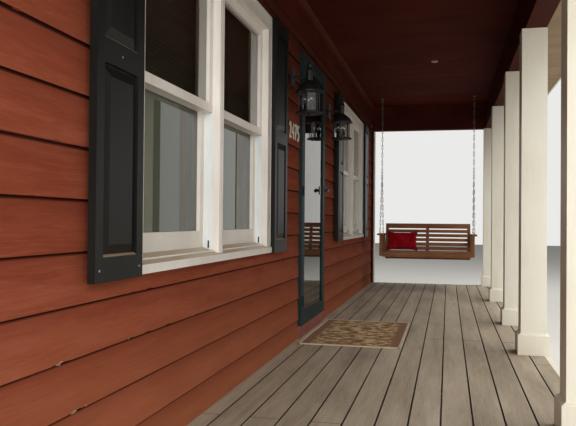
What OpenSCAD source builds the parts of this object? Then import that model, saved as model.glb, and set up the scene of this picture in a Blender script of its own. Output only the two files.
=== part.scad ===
// Front porch of a house: a lap-sided wall with twin windows and a storm door, a board deck on joists,
// six boxed posts, beams, a flat ceiling under a lean-to roof, and a bench swing hung on chains.
// X runs along the wall, the front faces -Y and Z is up from the ground. Distances "out" are measured
// from the wall's sheathing towards the front, and heights above the deck are added to deck_top.

/* [Porch] */
// Half of the porch length, from the door's centre line to the deck's end
porch_half = 4660; // [4400:10:5200]
// Depth of the deck, from the wall to the outer face of its edge trim
deck_depth = 1810; // [1600:10:2200]
// Height of the beams' underside above the deck
header_h = 2250; // [2150:10:2400]
// Height of the ceiling above the deck
ceiling_h = 2600; // [2450:10:2700]
// Half of the distance between the two entry posts
entry_post_x = 690; // [600:10:900]
// Half of the distance between the two middle posts
middle_post_x = 2540; // [2200:5:2800]
// How far the entry and middle posts stand off centre, towards the swing
post_shift = 110; // [0:5:150]

/* [Deck] */
// Thickness of the deck boards
board_t = 25; // [20:1:38]
// Thickness of a joist
joist_w = 38; // [38:1:50]
// Height of a joist
joist_h = 140; // [120:5:190]
// Largest distance between joist centres
joist_pitch = 406; // [300:1:610]
// Height of the concrete pads
pad_h = 40; // [30:5:80]
// Side of a square concrete pad
pad_size = 190; // [150:5:200]
// Thickness of the trim board round the deck's edge
trim_t = 38; // [19:1:45]
// Height of the trim board round the deck's edge
trim_h = 170; // [120:5:180]

/* [Posts] */
// Side of a post's boxed shaft
shaft_w = 168; // [120:1:190]
// Side of a post's base block
base_w = 210; // [200:1:240]
// Height of the base block under its bevel
base_h = 134; // [80:1:250]
// Height of the bevel that ends the base block
base_bevel = 14; // [8:1:30]

/* [Beams] */
// Thickness of the beams
beam_w = 124; // [90:1:160]
// Thickness of the trim board on the front beam's outer face
beam_trim_t = 22; // [15:1:30]
// Thickness of the ceiling boards
ceiling_t = 12; // [9:1:20]
// Distance from the centre line to the round cover in the ceiling
cover_x = 1710; // [900:10:2200]
// Distance from the wall out to the round cover
cover_out = 980; // [800:10:1200]
// Radius of the round cover
cover_r = 36; // [25:1:60]

/* [Roof] */
// Slope of the roof in degrees
roof_slope = 18.4; // [16:0.1:24]
// Depth of a rafter, square to the slope
rafter_h = 140; // [120:5:190]
// Thickness of a rafter
rafter_w = 38; // [38:1:50]
// Largest distance between rafter centres
rafter_pitch = 610; // [400:1:800]
// Thickness of the roof sheathing
sheathing_t = 12; // [9:1:20]
// Thickness of the shingle layer
shingle_t = 8; // [5:1:15]
// How far the shingles pass the fascia and the rake boards
shingle_lap = 15; // [5:1:40]
// Eave overhang, from the front beam's trim to the fascia
eave_over = 443; // [300:1:600]
// Rake overhang, from the deck's end to the rake board
rake_over = 205; // [200:5:500]
// Thickness of the fascia and rake boards
fascia_t = 20; // [15:1:30]
// Height of the fascia and rake boards
fascia_h = 184; // [140:1:240]
// Height of the flat eave soffit above the deck
soffit_z = 2400; // [2380:5:2405]
// Thickness of the soffit boards
soffit_t = 10; // [6:1:15]

/* [Wall] */
// Thickness of the wall, from sheathing to inner face
wall_t = 127; // [100:1:180]
// Height of one course of siding
siding_course = 164; // [100:1:200]
// Height of the first siding edge above the deck
siding_first = 148; // [60:1:190]
// Thickness of the siding at its lower edge
siding_butt = 14; // [8:1:18]
// Thickness of the siding at its upper edge
siding_thin = 4; // [2:1:6]
// Width of a corner board
corner_w = 90; // [60:1:140]
// Thickness of the corner boards and the frieze
wall_trim_t = 22; // [19:1:30]
// Height of the frieze's lower edge above the deck
frieze_z = 2350; // [2300:5:2420]
// Height of the cove moulding under the ceiling
cove_h = 78; // [40:1:100]

/* [Windows] */
// Distance from the centre line to the middle of a twin window
window_x = 2398; // [2200:1:2600]
// Width of a twin window over its casings
window_w = 1950; // [1600:10:2000]
// Height of the sill's lower edge above the deck
window_z = 706; // [600:1:800]
// Height of the casing's top above the deck
window_top = 2192; // [2000:1:2200]
// Width of a casing
casing_w = 95; // [60:1:120]
// Thickness of a casing
casing_t = 32; // [20:1:40]
// Width of the mullion between the two units
mullion_w = 60; // [50:1:160]
// Thickness of the jambs at the sides of the opening
jamb_t = 25; // [18:1:35]
// Height of the sill's nose
sill_nose = 36; // [25:1:50]
// How far the sill's nose stands out from the sheathing
sill_out = 48; // [35:1:70]
// Rise of the sill's sloping top
sill_rise = 31; // [5:1:40]
// Width of the sash stiles
stile_w = 46; // [35:1:60]
// Height of the upper sash's top rail
top_rail_h = 48; // [35:1:60]
// Height of the lower sash's bottom rail
bottom_rail_h = 80; // [60:1:110]
// Height of the meeting rails
meeting_h = 42; // [35:1:70]
// Height of the meeting rails' lower edge above the deck
meeting_z = 1434; // [1300:1:1550]
// Thickness of a sash
sash_t = 40; // [28:1:44]
// Distance from the sheathing in to the upper sash
sash_in = 5; // [2:1:20]
// Gap between the upper and the lower sash
sash_gap = 3; // [2:1:4]
// Thickness of the glass
glass_t = 4; // [3:1:8]
// Thickness of a drawn-up blind
blind_t = 10; // [8:1:12]

/* [Shutters] */
// Width of a shutter
shutter_w = 335; // [300:5:395]
// Height of a shutter's lower edge above the deck
shutter_z = 703; // [650:1:760]
// Height of a shutter's upper edge above the deck
shutter_top = 2192; // [2100:1:2240]
// Thickness of a shutter
shutter_t = 27; // [20:1:35]
// Width of a shutter's stiles
shutter_stile = 48; // [40:1:80]
// Height of a shutter's end rails and middle rail
shutter_rail = 80; // [60:1:130]
// Depth of the sunk field round a raised panel
panel_sink = 12; // [6:1:14]
// Width of the slope round a raised panel
panel_slope = 34; // [20:1:45]
// How far a shutter covers the edge of a window's casing
shutter_lap = 24; // [0:1:40]
// Gap between a casing's face and the back of the shutter that covers its edge
shutter_gap = 6; // [3:1:15]

/* [Door] */
// Width of the storm door over its frame
door_w = 980; // [900:5:1040]
// Width of the frame's side members
door_jamb = 33; // [25:1:45]
// Height of the frame's top above the deck
door_top = 2216; // [2180:1:2230]
// Height of the doorway's sill above the deck
door_sill_z = 96; // [80:1:130]
// Height of the storm frame's head member
storm_head = 36; // [25:1:50]
// Height of the entry door's head above the deck
entry_head_z = 2115; // [2050:1:2130]
// How far the storm frame stands out from the sheathing
storm_out = 36; // [32:1:45]
// Thickness of the storm door's leaf
storm_t = 27; // [22:1:30]
// Gap round the storm door's leaf
door_gap = 5; // [5:1:8]
// Width of the storm door's stiles and top rail
storm_stile = 58; // [45:1:80]
// Height of the storm door's kick rail
storm_kick = 98; // [60:1:250]
// Height of the storm door's handle above the deck
handle_z = 1190; // [1000:5:1250]
// Radius of a storm door hinge barrel
hinge_r = 6; // [5:0.5:8]
// Height of a storm door hinge
hinge_h = 76; // [60:1:100]
// Distance from the sheathing in to the entry door
entry_in = 58; // [50:1:70]
// Thickness of the entry door
entry_t = 44; // [38:1:50]
// Width of the entry door's stiles and rails
entry_stile = 110; // [90:5:150]
// Number of panel rows in the entry door
entry_rows = 3; // [2:1:4]

/* [Lanterns] */
// Distance from the centre line to a lantern
lantern_x = 775; // [740:5:850]
// Distance from the sheathing out to a lantern's middle
lantern_out = 142; // [125:1:180]
// Height of a lantern's base plate above the deck
lantern_z = 1686; // [1600:1:1800]
// Radius of a lantern's base plate
lantern_r = 90; // [80:1:100]
// Height of a lantern's glass
lantern_glass_h = 140; // [110:1:180]

/* [Swing] */
// Distance from the end beam to the middle of the swing's seat
swing_end_gap = 731; // [680:1:900]
// How far the swing hangs in front of the middle of the porch's depth
swing_off = 30; // [0:1:40]
// Half of the seat's width
seat_half = 575; // [500:5:600]
// Depth of the seat
seat_depth = 480; // [420:5:520]
// Height of the seat's top above the deck
seat_z = 510; // [480:1:560]
// Height of the seat's rails
seat_rail_h = 70; // [50:1:90]
// Thickness of the seat's rails
seat_rail_t = 24; // [18:1:32]
// Height of the seat's taller rear rail
rear_rail_h = 115; // [90:1:130]
// Thickness of the seat's slats
slat_t = 18; // [14:1:22]
// Number of slats in the seat
seat_slats = 7; // [5:1:9]
// Length of the back above the seat, along its lean
back_len = 380; // [340:1:450]
// Lean of the back in degrees
back_lean = 12; // [8:1:18]
// Number of slats under the back's top rail
back_slats = 5; // [4:1:6]
// Height of the back's top rail
back_top_rail = 66; // [50:1:80]
// Height of a slat in the back
back_slat_h = 42; // [30:1:44]
// Thickness of a slat in the back
back_slat_t = 14; // [12:1:20]
// Length of an arm
arm_l = 590; // [540:5:620]
// Width of an arm
arm_w = 70; // [60:1:90]
// Thickness of an arm
arm_t = 22; // [18:1:28]
// Height of an arm's top above the deck
arm_z = 747; // [720:1:800]
// Height of the chains' ring above the deck
ring_z = 1560; // [1300:10:1800]
// Radius of the chains' wire
wire_r = 2.8; // [2:0.1:3.2]
// Bend radius of a chain link, at the middle of its wire
link_r = 8; // [7.6:0.1:9]
// Aimed distance from link to link
link_pitch = 52; // [40:1:60]
// Distance from the seat's middle back to the ceiling hooks
hook_back = 60; // [0:1:90]

/* [Soft goods] */
// Width of the pillow
pillow_w = 405; // [300:5:450]
// Height of the pillow
pillow_h = 262; // [200:2:280]
// Thickness of the pillow
pillow_t = 105; // [60:1:130]
// Distance from the swing's middle to the pillow's middle
pillow_side = 340; // [200:5:360]
// Distance from the centre line to the door mat's middle
mat_x = -70; // [-200:5:200]
// Distance from the wall out to the door mat's middle
mat_out = 430; // [425:5:600]
// Length of the door mat
mat_l = 1260; // [900:10:1400]
// Width of the door mat
mat_w = 750; // [500:10:900]
// Thickness of the door mat
mat_t = 9; // [6:1:15]
// Turn of the door mat on the deck in degrees
mat_turn = 0; // [0:0.5:3]

/* [Hidden] */

deck_top = pad_h + joist_h + board_t;
joist_top = deck_top - board_t;
post_line = deck_depth - base_w / 2 - 2;
corner_post_x = porch_half - base_w / 2 - 2;
pad_places = [for (s = [-1, 1]) each [s * entry_post_x + post_shift, s * middle_post_x + post_shift,
    s * (porch_half - pad_size / 2 - 5)]];
beam_z = deck_top + header_h;
ceiling_z = deck_top + ceiling_h;
beam_top = ceiling_z + ceiling_t;
beam_in = post_line - beam_w / 2;
beam_out = post_line + beam_w / 2;
end_beam_in = corner_post_x - beam_w / 2;
end_beam_out = corner_post_x + beam_w / 2;

pitch = tan(roof_slope);
slope_len = sqrt(1 + pitch * pitch);
rafter_v = rafter_h * slope_len;
trim_out = beam_out + beam_trim_t;
fascia_in = trim_out + eave_over;
fascia_out = fascia_in + fascia_t;
rake_in = porch_half + rake_over;
rake_out = rake_in + fascia_t;
eave_reach = fascia_out + shingle_lap;
fascia_low = deck_top + soffit_z - 10;
gable_out = end_beam_out + siding_butt;
wall_y = (eave_reach - wall_t) / 2;
butt_gap = 0.5;
seat_gap = 0.3;
slope_gap = 0.1;

window_head_t = 46;
entry_head_t = 35;
rough_top = deck_top + min(window_top - casing_w + window_head_t, entry_head_z + entry_head_t);
opening_top = deck_top + window_top - casing_w;
opening_half = window_w / 2 - casing_w;
rough_half = opening_half + jamb_t;
unit_w = opening_half - mullion_w / 2;
sill_z = deck_top + window_z + sill_nose + sill_rise;
upper_y = sash_in;
lower_y = sash_in + sash_t + sash_gap;
blind_y = lower_y + sash_t + 3;
sill_half = window_w / 2 - shutter_lap - 2;
shutter_back = casing_t + shutter_gap;
door_half = door_w / 2;
doorway_half = door_half - door_jamb;
wall_half = porch_half - wall_trim_t;

leaf_half = doorway_half - door_gap;
leaf_z = deck_top + door_sill_z + door_gap;
leaf_top = deck_top + door_top - storm_head - door_gap;
leaf_face = storm_out;
leaf_back = leaf_face - storm_t;
hinge_x = -leaf_half - 2;
hinge_out = leaf_face + hinge_r + 0.5;
hinge_leaf = 28;
hinge_end = 150;
hinge_heights = [leaf_z + hinge_end, (leaf_z + leaf_top - hinge_h) / 2, leaf_top - hinge_end - hinge_h];
knuckle_gap = 0.3;
knuckle_h = hinge_h / 2 - 2 * knuckle_gap;
door_stop = 12;

swing_x = end_beam_in - swing_end_gap;
swing_out = beam_in / 2 + swing_off;
arm_in = seat_half;
eye_v = arm_in + arm_w / 2;
eye_wire = 3.5;
eye_r = 11;
eye_z = arm_z + eye_r + 1;
ring_r = 20;
ring_wire = 3.5;
link_clear = 0.5;
yoke_r = 10;
yoke_in = 7;
yoke_t = 4;
hook_drop = 42;
hook_x = swing_x + hook_back;
pivot_z = ceiling_z - hook_drop;
front_eye_u = -seat_depth / 2 + 40;
back_eye_u = seat_depth / 2 + 22;

// Y of a point that is this far out from the sheathing
function out(d) = wall_y - d;
// Height of the rafters' lower edge at a distance out from the sheathing
function rafter_line(d) = beam_top + (beam_in - d) * pitch;
// Even positions from one end to the other, no further apart than the step
function spread(from, to, step) =
    let (n = ceil((to - from) / step)) [for (i = [0:n]) from + (to - from) * i / n];

// Box between two distances out, two X values and two heights
module slab(x0, x1, d0, d1, z0, z1) {
    translate([x0, out(d1), z0]) cube([x1 - x0, d1 - d0, z1 - z0]);
}

// Extrudes a profile of [distance out, height] points along X
module along_x(x0, x1, points) {
    translate([x0, wall_y, 0]) rotate([90, 0, 90]) linear_extrude(x1 - x0)
        polygon([for (p = points) [-p[0], p[1]]]);
}

module both_sides() {
    children();
    mirror([1, 0, 0]) children();
}

// Profile between two heights above the rafters' lower edge
function slope_band(d0, d1, low, high) = [
    [d0, rafter_line(d0) + low], [d1, rafter_line(d1) + low],
    [d1, rafter_line(d1) + high], [d0, rafter_line(d0) + high]];

module foundation() {
    color("darkgray") slab(-porch_half, porch_half, -wall_t, 0, 0, joist_top);
}

module wall_lower() {
    color("tan") both_sides() slab(door_half, wall_half, -wall_t, 0, joist_top, deck_top + window_z);
}

module wall_piers() {
    color("tan") both_sides() {
        slab(door_half, window_x - rough_half, -wall_t, 0, deck_top + window_z, rough_top);
        slab(window_x + rough_half, wall_half, -wall_t, 0, deck_top + window_z, rough_top);
    }
}

module wall_upper() {
    color("tan") along_x(-wall_half, wall_half, [
        [-wall_t, rough_top], [0, rough_top],
        [0, rafter_line(0) + rafter_v - slope_gap], [-wall_t, rafter_line(-wall_t) + rafter_v - slope_gap]]);
}

// Saw-tooth profile of lap siding between two heights
function lap_profile(low, high, first) =
    let (n = ceil((high - first) / siding_course))
    concat([[0, high], [0, low], [siding_butt, low]],
        [for (i = [0:n - 1]) let (z = first + i * siding_course)
            each [[siding_thin, z], [siding_butt, z]]],
        [[siding_thin, high]]);

module lap_siding() {
    low = deck_top + 3;
    high = deck_top + frieze_z;
    side = wall_half + wall_trim_t - corner_w;
    color("sienna") difference() {
        along_x(-side, side, lap_profile(low, high, deck_top + siding_first));
        both_sides() slab(window_x - window_w / 2, window_x + window_w / 2, -1, siding_butt + 1,
            deck_top + window_z, deck_top + window_top);
        slab(-door_half, door_half, -1, siding_butt + 1, 0, deck_top + door_top);
    }
}

module corner_boards() {
    color("antiquewhite") both_sides() {
        along_x(porch_half - corner_w, porch_half, [
            [0, deck_top], [wall_trim_t, deck_top],
            [wall_trim_t, rafter_line(wall_trim_t) - slope_gap], [0, rafter_line(0) - slope_gap]]);
        along_x(wall_half, porch_half, [
            [-wall_t, joist_top], [0, joist_top],
            [0, rafter_line(0) - slope_gap], [-wall_t, rafter_line(-wall_t) - slope_gap]]);
    }
}

module wall_frieze() {
    color("maroon") {
        slab(-porch_half + corner_w, porch_half - corner_w, 0, wall_trim_t,
            deck_top + frieze_z, ceiling_z - cove_h);
        difference() {
            slab(-end_beam_in, end_beam_in, 0, wall_trim_t + cove_h * 0.6, ceiling_z - cove_h, ceiling_z);
            translate([-porch_half, out(wall_trim_t + cove_h), ceiling_z - cove_h]) rotate([0, 90, 0])
                cylinder(r = cove_h * 0.85, h = 2 * porch_half, $fn = 48);
        }
    }
}

// Middles of a twin window's two units
function unit_centres(cx) = [for (s = [-1, 1]) cx + s * (mullion_w + unit_w) / 2];

// Frame of one twin window: casings, jambs, mullion, parting beads and sloping sill
module window_frame(cx) {
    sill_low = deck_top + window_z;
    difference() {
        union() {
            slab(cx - window_w / 2, cx + window_w / 2, 0, casing_t, sill_low, deck_top + window_top);
            slab(cx - rough_half, cx + rough_half, -wall_t, 0, sill_low + sill_nose, rough_top);
        }
        for (u = unit_centres(cx))
            slab(u - unit_w / 2, u + unit_w / 2, -wall_t - 1, casing_t + 1, sill_low, opening_top);
    }
    nose_top = sill_low + sill_nose - 2;
    mid_z = nose_top + (sill_z - nose_top) * sill_out / (sill_out + lower_y);
    along_x(cx - sill_half, cx + sill_half, [
        [0, sill_low], [sill_out, sill_low], [sill_out, nose_top], [0, mid_z]]);
    along_x(cx - rough_half, cx + rough_half, [
        [0, sill_low], [0, mid_z], [-lower_y, sill_z], [-wall_t, sill_z], [-wall_t, sill_low]]);
}

module left_window_frame() { color("antiquewhite") window_frame(-window_x); }
module right_window_frame() { color("antiquewhite") window_frame(window_x); }

// One sash: a ring of stiles and rails between two heights
module sash(cx, y0, z0, z1, low_rail, high_rail) {
    w = unit_w - 1;
    difference() {
        slab(cx - w / 2, cx + w / 2, -y0 - sash_t, -y0, z0, z1);
        slab(cx - w / 2 + stile_w, cx + w / 2 - stile_w, -y0 - sash_t - 1, -y0 + 1,
            z0 + low_rail, z1 - high_rail);
    }
}

module window_sashes(cx) {
    split = deck_top + meeting_z;
    for (u = unit_centres(cx)) {
        sash(u, upper_y, split, opening_top - 0.5, meeting_h, top_rail_h);
        sash(u, lower_y, sill_z, split + meeting_h * 0.7, bottom_rail_h, meeting_h * 0.7);
    }
}

module left_window_sashes() { color("antiquewhite") window_sashes(-window_x); }
module right_window_sashes() { color("antiquewhite") window_sashes(window_x); }

module window_glass() {
    split = deck_top + meeting_z;
    w = unit_w - 1 - 2 * stile_w;
    color("lightblue", 0.4) for (cx = [-window_x, window_x], u = unit_centres(cx)) {
        slab(u - w / 2, u + w / 2, -upper_y - sash_t / 2 - glass_t / 2, -upper_y - sash_t / 2 + glass_t / 2,
            split + meeting_h, opening_top - 0.5 - top_rail_h);
        slab(u - w / 2, u + w / 2, -lower_y - sash_t / 2 - glass_t / 2, -lower_y - sash_t / 2 + glass_t / 2,
            sill_z + bottom_rail_h, split);
    }
}

module window_blinds() {
    color("saddlebrown") for (cx = [-window_x, window_x], u = unit_centres(cx))
        slab(u - unit_w / 2 + 12, u + unit_w / 2 - 12, -blind_y - blind_t, -blind_y,
            deck_top + meeting_z + 40, opening_top);
}

// One shutter with two raised panels, its lower left back corner at the origin
module shutter() {
    h = shutter_top - shutter_z;
    panel_h = (h - 3 * shutter_rail) / 2;
    panel_w = shutter_w - 2 * shutter_stile;
    margin = 6;
    field_w = panel_w - 2 * (margin + panel_slope);
    field_h = panel_h - 2 * (margin + panel_slope);
    batten_w = 30;
    batten_in = 45;
    panel_zs = [shutter_rail, 2 * shutter_rail + panel_h];
    translate([0, -shutter_t, 0]) difference() {
        cube([shutter_w, shutter_t, h]);
        for (z = panel_zs) translate([shutter_stile, -1, z]) cube([panel_w, panel_sink + 1, panel_h]);
    }
    for (z = panel_zs) translate([shutter_stile + margin, panel_sink - shutter_t, z + margin]) hull() {
        translate([0, -0.1, 0]) cube([panel_w - 2 * margin, 0.2, panel_h - 2 * margin]);
        translate([panel_slope, 1 - panel_sink, panel_slope]) cube([field_w, 0.1, field_h]);
    }
    for (x = [batten_in, shutter_w - batten_in - batten_w])
        translate([x, 0, batten_in]) cube([batten_w, shutter_back - siding_butt, h - 2 * batten_in]);
}

module shutters() {
    color("darkslategray") for (cx = [-window_x, window_x], s = [-1, 1])
        translate([cx + s * ((window_w + shutter_w) / 2 - shutter_lap) - shutter_w / 2, out(shutter_back),
            deck_top + shutter_z]) shutter();
}

module door_frame() {
    storm_top = deck_top + door_top;
    color("darkslategray") {
        difference() {
            slab(-door_half, door_half, 0, storm_out, deck_top + door_sill_z, storm_top);
            slab(-doorway_half, doorway_half, -1, storm_out + 1, 0, storm_top - storm_head);
        }
        difference() {
            slab(-door_half, door_half, -wall_t, 0, deck_top + door_sill_z, rough_top);
            slab(-doorway_half, doorway_half, -wall_t - 1, 1, 0, deck_top + entry_head_z);
        }
        difference() {
            slab(-doorway_half, doorway_half, -entry_in, -entry_in + door_stop, deck_top + door_sill_z,
                deck_top + entry_head_z);
            slab(-doorway_half + door_stop, doorway_half - door_stop, -entry_in - 1, 1, 0,
                deck_top + entry_head_z - door_stop);
        }
        for (z = hinge_heights, end = [0, hinge_h - hinge_h / 4]) {
            slab(hinge_x - hinge_leaf, hinge_x, storm_out, storm_out + 4, z + end, z + end + hinge_h / 4);
            translate([hinge_x, out(hinge_out), z + end]) cylinder(r = hinge_r, h = hinge_h / 4, $fn = 32);
        }
    }
}

module door_sill() {
    color("maroon") {
        slab(-door_half, door_half, -wall_t, 0, joist_top, deck_top + door_sill_z);
        slab(-door_half, door_half, 0, storm_out, deck_top + door_sill_z - 18, deck_top + door_sill_z);
        slab(-door_half, door_half, 0, storm_out - 12, deck_top, deck_top + door_sill_z - 18);
    }
}

module entry_door() {
    half = doorway_half - 3;
    low = deck_top + door_sill_z + 4;
    high = deck_top + entry_head_z - 3;
    panel_w = half - entry_stile * 1.5;
    panel_h = (high - low - entry_stile) / entry_rows - entry_stile;
    color("saddlebrown") difference() {
        slab(-half, half, -entry_in - entry_t, -entry_in, low, high);
        for (x = [-half + entry_stile, half - entry_stile - panel_w], i = [0:entry_rows - 1])
            let (z = low + entry_stile + i * (panel_h + entry_stile))
                slab(x, x + panel_w, -entry_in - 10, -entry_in + 1, z, z + panel_h);
    }
}

module storm_door() {
    color("darkslategray") {
        difference() {
            slab(-leaf_half, leaf_half, leaf_back, leaf_face, leaf_z, leaf_top);
            slab(-leaf_half + storm_stile, leaf_half - storm_stile, leaf_back - 1, leaf_face + 1,
                leaf_z + storm_kick, leaf_top - storm_stile);
        }
        for (z = hinge_heights) translate([0, 0, z + hinge_h / 4 + knuckle_gap]) {
            translate([hinge_x, out(hinge_out), 0]) cylinder(r = hinge_r, h = knuckle_h, $fn = 32);
            slab(hinge_x, hinge_x + hinge_leaf, leaf_face, leaf_face + 4, 0, knuckle_h);
        }
    }
}

module storm_door_glass() {
    mid = (leaf_back + leaf_face) / 2;
    color("lightblue", 0.4) slab(-leaf_half + storm_stile, leaf_half - storm_stile, mid - glass_t / 2,
        mid + glass_t / 2, leaf_z + storm_kick, leaf_top - storm_stile);
}

module storm_door_handle() {
    x = leaf_half - storm_stile / 2;
    z = deck_top + handle_z;
    plate_half = 18;
    plate_t = 8;
    stem_r = 11;
    stem_l = 40;
    lever_l = 105;
    lever_t = 12;
    tip_r = 7;
    tip_t = 8;
    stem_end = leaf_face + plate_t + stem_l;
    color("black") {
        slab(x - plate_half, x + plate_half, leaf_face, leaf_face + plate_t, z - 90, z + 50);
        translate([x, out(leaf_face + plate_t), z]) rotate([90, 0, 0])
            cylinder(r = stem_r, h = stem_l, $fn = 32);
        hull() {
            translate([x, out(stem_end), z]) rotate([90, 0, 0]) cylinder(r = stem_r, h = lever_t, $fn = 24);
            translate([x - lever_l, out(stem_end + lever_t - tip_t), z - 6]) rotate([90, 0, 0])
                cylinder(r = tip_r, h = tip_t, $fn = 24);
        }
    }
}

// Metal of one wall lantern, its base plate's middle at the origin
module lantern_body() {
    cage_r = lantern_r - 12;
    plate_t = 12;
    roof_z = lantern_glass_h + plate_t;
    roof_h = 84;
    neck_r = 24;
    neck_h = 74;
    cap_h = 26;
    arm_r = 10;
    arm_reach = lantern_out - siding_butt - plate_t;
    bracket_w = 104;
    bracket_h = 140;
    cylinder(r = lantern_r, h = plate_t, $fn = 6);
    translate([0, 0, -14]) cylinder(r1 = 8, r2 = 26, h = 14, $fn = 24);
    for (i = [0:5]) rotate([0, 0, 60 * i]) translate([cage_r, 0, plate_t])
        cylinder(r = 4, h = lantern_glass_h, $fn = 16);
    for (i = [0:2]) rotate([0, 0, 120 * i]) translate([28, 0, plate_t]) cylinder(r = 9, h = 62, $fn = 24);
    translate([0, 0, roof_z]) rotate_extrude($fn = 6)
        polygon([[0, 0], [lantern_r + 12, 0], [lantern_r + 12, 5], [lantern_r - 12, 16], [lantern_r - 34, 36],
            [lantern_r - 50, 60], [neck_r, roof_h], [0, roof_h]]);
    translate([0, 0, roof_z + roof_h]) {
        cylinder(r = neck_r, h = neck_h, $fn = 32);
        translate([0, 0, neck_h]) cylinder(r1 = neck_r + 6, r2 = 12, h = cap_h, $fn = 32);
        translate([0, 0, neck_h + cap_h + 12]) sphere(r = 15, $fn = 24);
        translate([0, 0, neck_h + cap_h + 21]) cylinder(r1 = 7, r2 = 2, h = 40, $fn = 16);
        translate([0, 0, cap_h]) rotate([-90, 0, 0]) cylinder(r = arm_r, h = arm_reach, $fn = 24);
        translate([-bracket_w / 2, arm_reach, cap_h - bracket_h / 2]) cube([bracket_w, plate_t, bracket_h]);
    }
}

module lantern_at(x) {
    translate([x, out(lantern_out), deck_top + lantern_z]) children();
}

module left_lantern() { color("black") lantern_at(-lantern_x) lantern_body(); }
module right_lantern() { color("black") lantern_at(lantern_x) lantern_body(); }

module lantern_glass() {
    glass_r = lantern_r - 22;
    color("lightblue", 0.4) for (x = [-lantern_x, lantern_x])
        lantern_at(x) translate([0, 0, 12]) difference() {
            cylinder(r = glass_r, h = lantern_glass_h, $fn = 6);
            translate([0, 0, -1]) cylinder(r = glass_r - 3, h = lantern_glass_h + 2, $fn = 6);
        }
}

module deck_boards() {
    side = porch_half - trim_t;
    color("gray") slab(-side, side, 0, deck_depth - trim_t, joist_top, deck_top);
}

module deck_joists() {
    side = porch_half - trim_t - joist_w / 2;
    color("burlywood") for (x = spread(-side, side, joist_pitch))
        slab(x - joist_w / 2, x + joist_w / 2, joist_w, deck_depth - trim_t - joist_w, pad_h, joist_top);
}

module deck_rim() {
    side = porch_half - trim_t;
    color("burlywood") {
        slab(-side, side, 0, joist_w, pad_h, joist_top);
        slab(-side, side, deck_depth - trim_t - joist_w, deck_depth - trim_t, pad_h, joist_top);
    }
}

module deck_pads() {
    color("darkgray") for (x = pad_places)
        slab(x - pad_size / 2, x + pad_size / 2,
            post_line - pad_size / 2, post_line + pad_size / 2, 0, pad_h);
}

module deck_edge_trim() {
    color("antiquewhite") difference() {
        slab(-porch_half, porch_half, 0, deck_depth, deck_top - trim_h, deck_top);
        slab(-porch_half + trim_t, porch_half - trim_t, -1, deck_depth - trim_t, 0, deck_top + 1);
        for (x = pad_places)
            slab(x - pad_size / 2 - 1, x + pad_size / 2 + 1, post_line - pad_size / 2 - 1,
                post_line + pad_size / 2 + 1, 0, pad_h + seat_gap);
    }
}

// Boxed post: base block, bevel and shaft up to the beam
module post(x) {
    translate([x, out(post_line), deck_top]) {
        translate([-base_w / 2, -base_w / 2, 0]) cube([base_w, base_w, base_h]);
        translate([0, 0, base_h]) linear_extrude(base_bevel, scale = shaft_w / base_w)
            square(base_w, center = true);
        translate([-shaft_w / 2, -shaft_w / 2, 0]) cube([shaft_w, shaft_w, header_h]);
    }
}

module entry_posts() { color("antiquewhite") for (s = [-1, 1]) post(s * entry_post_x + post_shift); }
module middle_posts() { color("antiquewhite") for (s = [-1, 1]) post(s * middle_post_x + post_shift); }
module corner_posts() { color("antiquewhite") both_sides() post(corner_post_x); }

module front_beam() {
    color("maroon") {
        slab(-end_beam_out, end_beam_out, beam_in, beam_out, beam_z, beam_top);
        slab(-end_beam_out, end_beam_out, beam_out, trim_out, beam_z + 10, beam_top - 60);
    }
}

module end_beams() {
    color("maroon") both_sides() slab(end_beam_in, end_beam_out, wall_trim_t, beam_in, beam_z, beam_top);
}

module ceiling() {
    color("maroon") slab(-end_beam_in, end_beam_in, 0, beam_in, ceiling_z, beam_top);
}

module ceiling_cover() {
    cover_t = 9;
    color("white") translate([cover_x, out(cover_out), ceiling_z - cover_t])
        cylinder(r1 = cover_r - 6, r2 = cover_r, h = cover_t, $fn = 48);
}

module roof_frame() {
    color("burlywood") {
        for (x = spread(-end_beam_in + 60, end_beam_in - 60, rafter_pitch))
            difference() {
                along_x(x - rafter_w / 2, x + rafter_w / 2, slope_band(0, fascia_in, 0, rafter_v + 1));
                slab(x - rafter_w, x + rafter_w, beam_in - 1, trim_out + 1, beam_z, beam_top);
            }
        along_x(-rake_in, rake_in,
            slope_band(-wall_t, fascia_in, rafter_v, rafter_v + sheathing_t * slope_len));
    }
}

module roof_shingles() {
    low = rafter_v + sheathing_t * slope_len + slope_gap;
    color("dimgray") along_x(-rake_out - shingle_lap, rake_out + shingle_lap,
        slope_band(-wall_t, eave_reach, low, low + shingle_t * slope_len));
}

module eave_soffit() {
    box_z = deck_top + soffit_z;
    return_t = 12;
    color("wheat") {
        slab(-rake_in, rake_in, trim_out, fascia_in, box_z, box_z + soffit_t);
        both_sides() {
            along_x(wall_half + seat_gap, rake_in, slope_band(-wall_t, 0, 0, soffit_t));
            along_x(gable_out + seat_gap, rake_in, slope_band(0, trim_out, 0, soffit_t));
            along_x(end_beam_out + seat_gap, rake_in, [
                [trim_out, box_z + soffit_t], [trim_out + return_t, box_z + soffit_t],
                [trim_out + return_t, rafter_line(trim_out + return_t) + soffit_t],
                [trim_out, rafter_line(trim_out) + soffit_t]]);
        }
    }
}

module fascia_boards() {
    top = rafter_v + sheathing_t * slope_len;
    color("antiquewhite") {
        along_x(-rake_in + butt_gap, rake_in - butt_gap, [
            [fascia_in, fascia_low], [fascia_out, fascia_low],
            [fascia_out, rafter_line(fascia_out) + top], [fascia_in, rafter_line(fascia_in) + top]]);
        both_sides() along_x(rake_in, rake_out, [
            [-wall_t, rafter_line(-wall_t) + top - fascia_h * slope_len],
            [trim_out, rafter_line(trim_out) + top - fascia_h * slope_len],
            [trim_out, fascia_low], [fascia_out, fascia_low],
            [fascia_out, rafter_line(fascia_out) + top], [-wall_t, rafter_line(-wall_t) + top]]);
    }
}

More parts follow.
